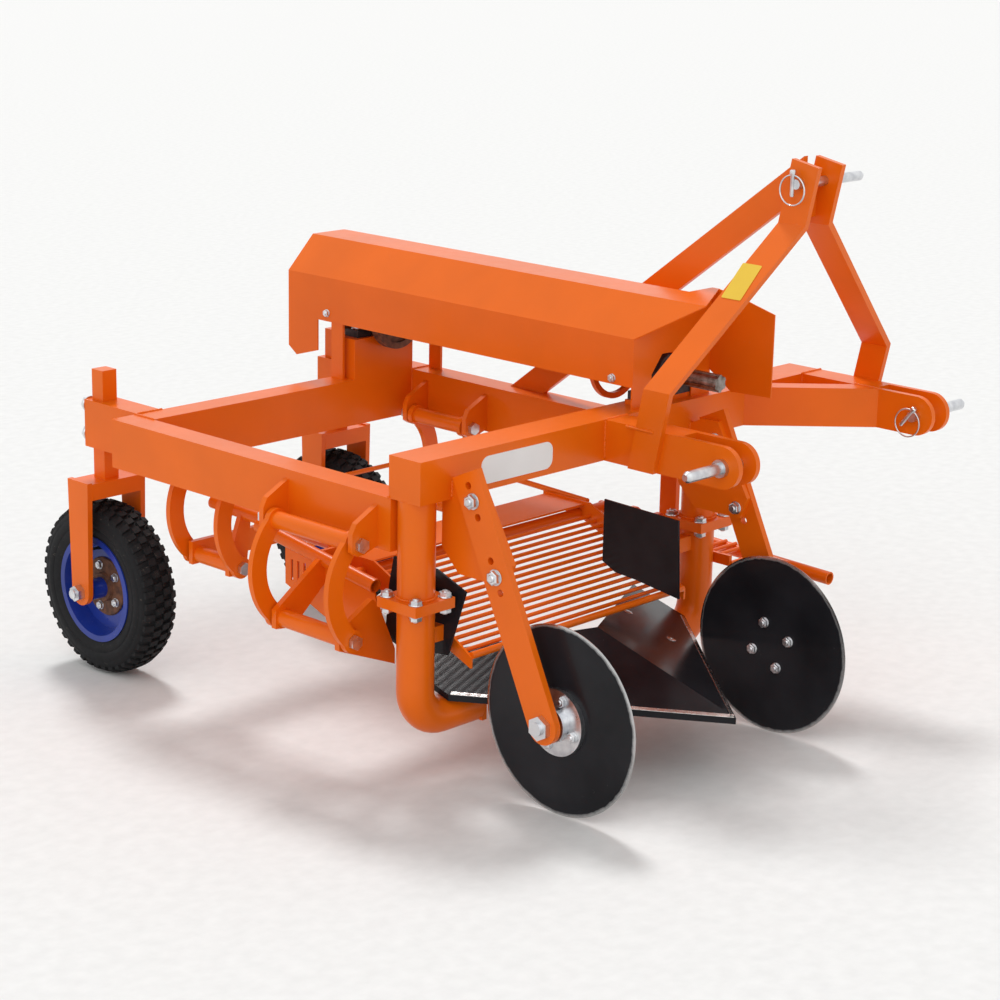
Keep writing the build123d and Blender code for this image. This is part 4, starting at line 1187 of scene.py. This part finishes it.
class DIGGER_OT_stage(bpy.types.Operator):
    """Pale floor, soft lights and the camera"""

    bl_idname = "digger.stage"
    bl_label = "Stage"

    def execute(self, context):
        scene = context.scene
        scene.view_settings.view_transform = "Standard"
        self.make_floor()
        self.make_sky(scene)
        self.make_lamps(scene)
        self.make_camera(scene)
        return {"FINISHED"}

    @staticmethod
    def make_floor():
        """A wide pale floor at height zero."""
        reach = FLOOR_REACH
        mesh = bpy.data.meshes.new("floor")
        corners = [(-reach, -reach, 0), (reach, -reach, 0), (reach, reach, 0), (-reach, reach, 0)]
        mesh.from_pydata(corners, [], [(0, 1, 2, 3)])
        floor = new_object("floor", mesh)
        material, graph, shader, coords = new_material("pale_floor")
        dark, light = (0.78, 0.78, 0.77, 1), (0.83, 0.83, 0.82, 1)
        tone = graph.ramp(graph.noise(coords, 30.0, 5.0), 0.3, 0.7, dark, light)
        graph.put(tone, shader.inputs["Base Color"])
        shader.inputs["Roughness"].default_value = 0.9
        mesh.materials.append(material)

    @staticmethod
    def make_sky(scene):
        """A white sky, dimmer as a light than where it is seen, mirrored or seen through."""
        world = bpy.data.worlds.new("studio")
        world.use_nodes = True
        scene.world = world
        sky = world.node_tree.nodes["Background"]
        air = Graph(world.node_tree)
        path = air.add("ShaderNodeLightPath")
        seen = air.math("MAXIMUM", path.outputs["Is Camera Ray"], path.outputs["Is Glossy Ray"])
        seen = air.math("MAXIMUM", seen, path.outputs["Is Transmission Ray"])
        strength = air.add("ShaderNodeMapRange")
        strength.inputs["To Min"].default_value = SKY_LIGHT
        strength.inputs["To Max"].default_value = SKY_SEEN
        air.put(seen, strength.inputs["Value"])
        air.put(strength.outputs["Result"], sky.inputs["Strength"])
        sky.inputs["Color"].default_value = (1, 1, 1, 1)

    @staticmethod
    def make_lamps(scene):
        """Sun lamps that shine at the origin."""
        for name, place, spread, strength in LAMPS:
            lamp = bpy.data.lights.new(name, "SUN")
            lamp.angle = math.radians(spread)
            lamp.energy = strength
            holder = bpy.data.objects.new(name, lamp)
            holder.location = place
            holder.rotation_mode = "QUATERNION"
            holder.rotation_quaternion = (-Vector(place)).to_track_quat("-Z", "Y")
            scene.collection.objects.link(holder)

    @staticmethod
    def make_camera(scene):
        """A long lens from the front right, rolled a little."""
        lens = bpy.data.cameras.new("camera")
        lens.sensor_width = SENSOR_WIDTH
        lens.lens = FOCAL_LENGTH
        lens.clip_end = 200.0
        camera = bpy.data.objects.new("camera", lens)
        right = (CAMERA_RIGHT - CAMERA_AHEAD * CAMERA_RIGHT.dot(CAMERA_AHEAD)).normalized()
        up = right.cross(CAMERA_AHEAD)
        side = right * math.cos(CAMERA_ROLL) + up * math.sin(CAMERA_ROLL)
        top = up * math.cos(CAMERA_ROLL) - right * math.sin(CAMERA_ROLL)
        turn = Matrix((side, top, -CAMERA_AHEAD)).transposed().to_4x4()
        camera.matrix_world = Matrix.Translation(CAMERA_PLACE) @ turn
        scene.collection.objects.link(camera)
        scene.camera = camera


OPERATORS = (
    DIGGER_OT_finishes,
    DIGGER_OT_stage,
    DIGGER_OT_tyres,
    DIGGER_OT_wheels,
    DIGGER_OT_bolts,
    DIGGER_OT_welds,
    DIGGER_OT_pins,
    DIGGER_OT_share_bolts,
    DIGGER_OT_plates,
    DIGGER_OT_shaft,
)


class DIGGER_PT_panel(bpy.types.Panel):
    """Sizes, colours and pieces of the digger"""

    bl_idname = "DIGGER_PT_panel"
    bl_label = "Potato digger"
    bl_space_type = "VIEW_3D"
    bl_region_type = "UI"
    bl_category = "Digger"

    def draw(self, context):
        for key in DiggerSizes.__annotations__:
            self.layout.prop(context.scene.digger, key)
        for operator in OPERATORS:
            self.layout.operator(operator.bl_idname)


CLASSES = (DiggerSizes, *OPERATORS, DIGGER_PT_panel)


def register():
    for cls in CLASSES:
        bpy.utils.register_class(cls)
    bpy.types.Scene.digger = bpy.props.PointerProperty(type=DiggerSizes)


def unregister():
    del bpy.types.Scene.digger
    for cls in reversed(CLASSES):
        bpy.utils.unregister_class(cls)


def main():
    register()
    for operator in OPERATORS:
        group, name = operator.bl_idname.split(".")
        getattr(getattr(bpy.ops, group), name)()


if __name__ == "__main__":
    main()
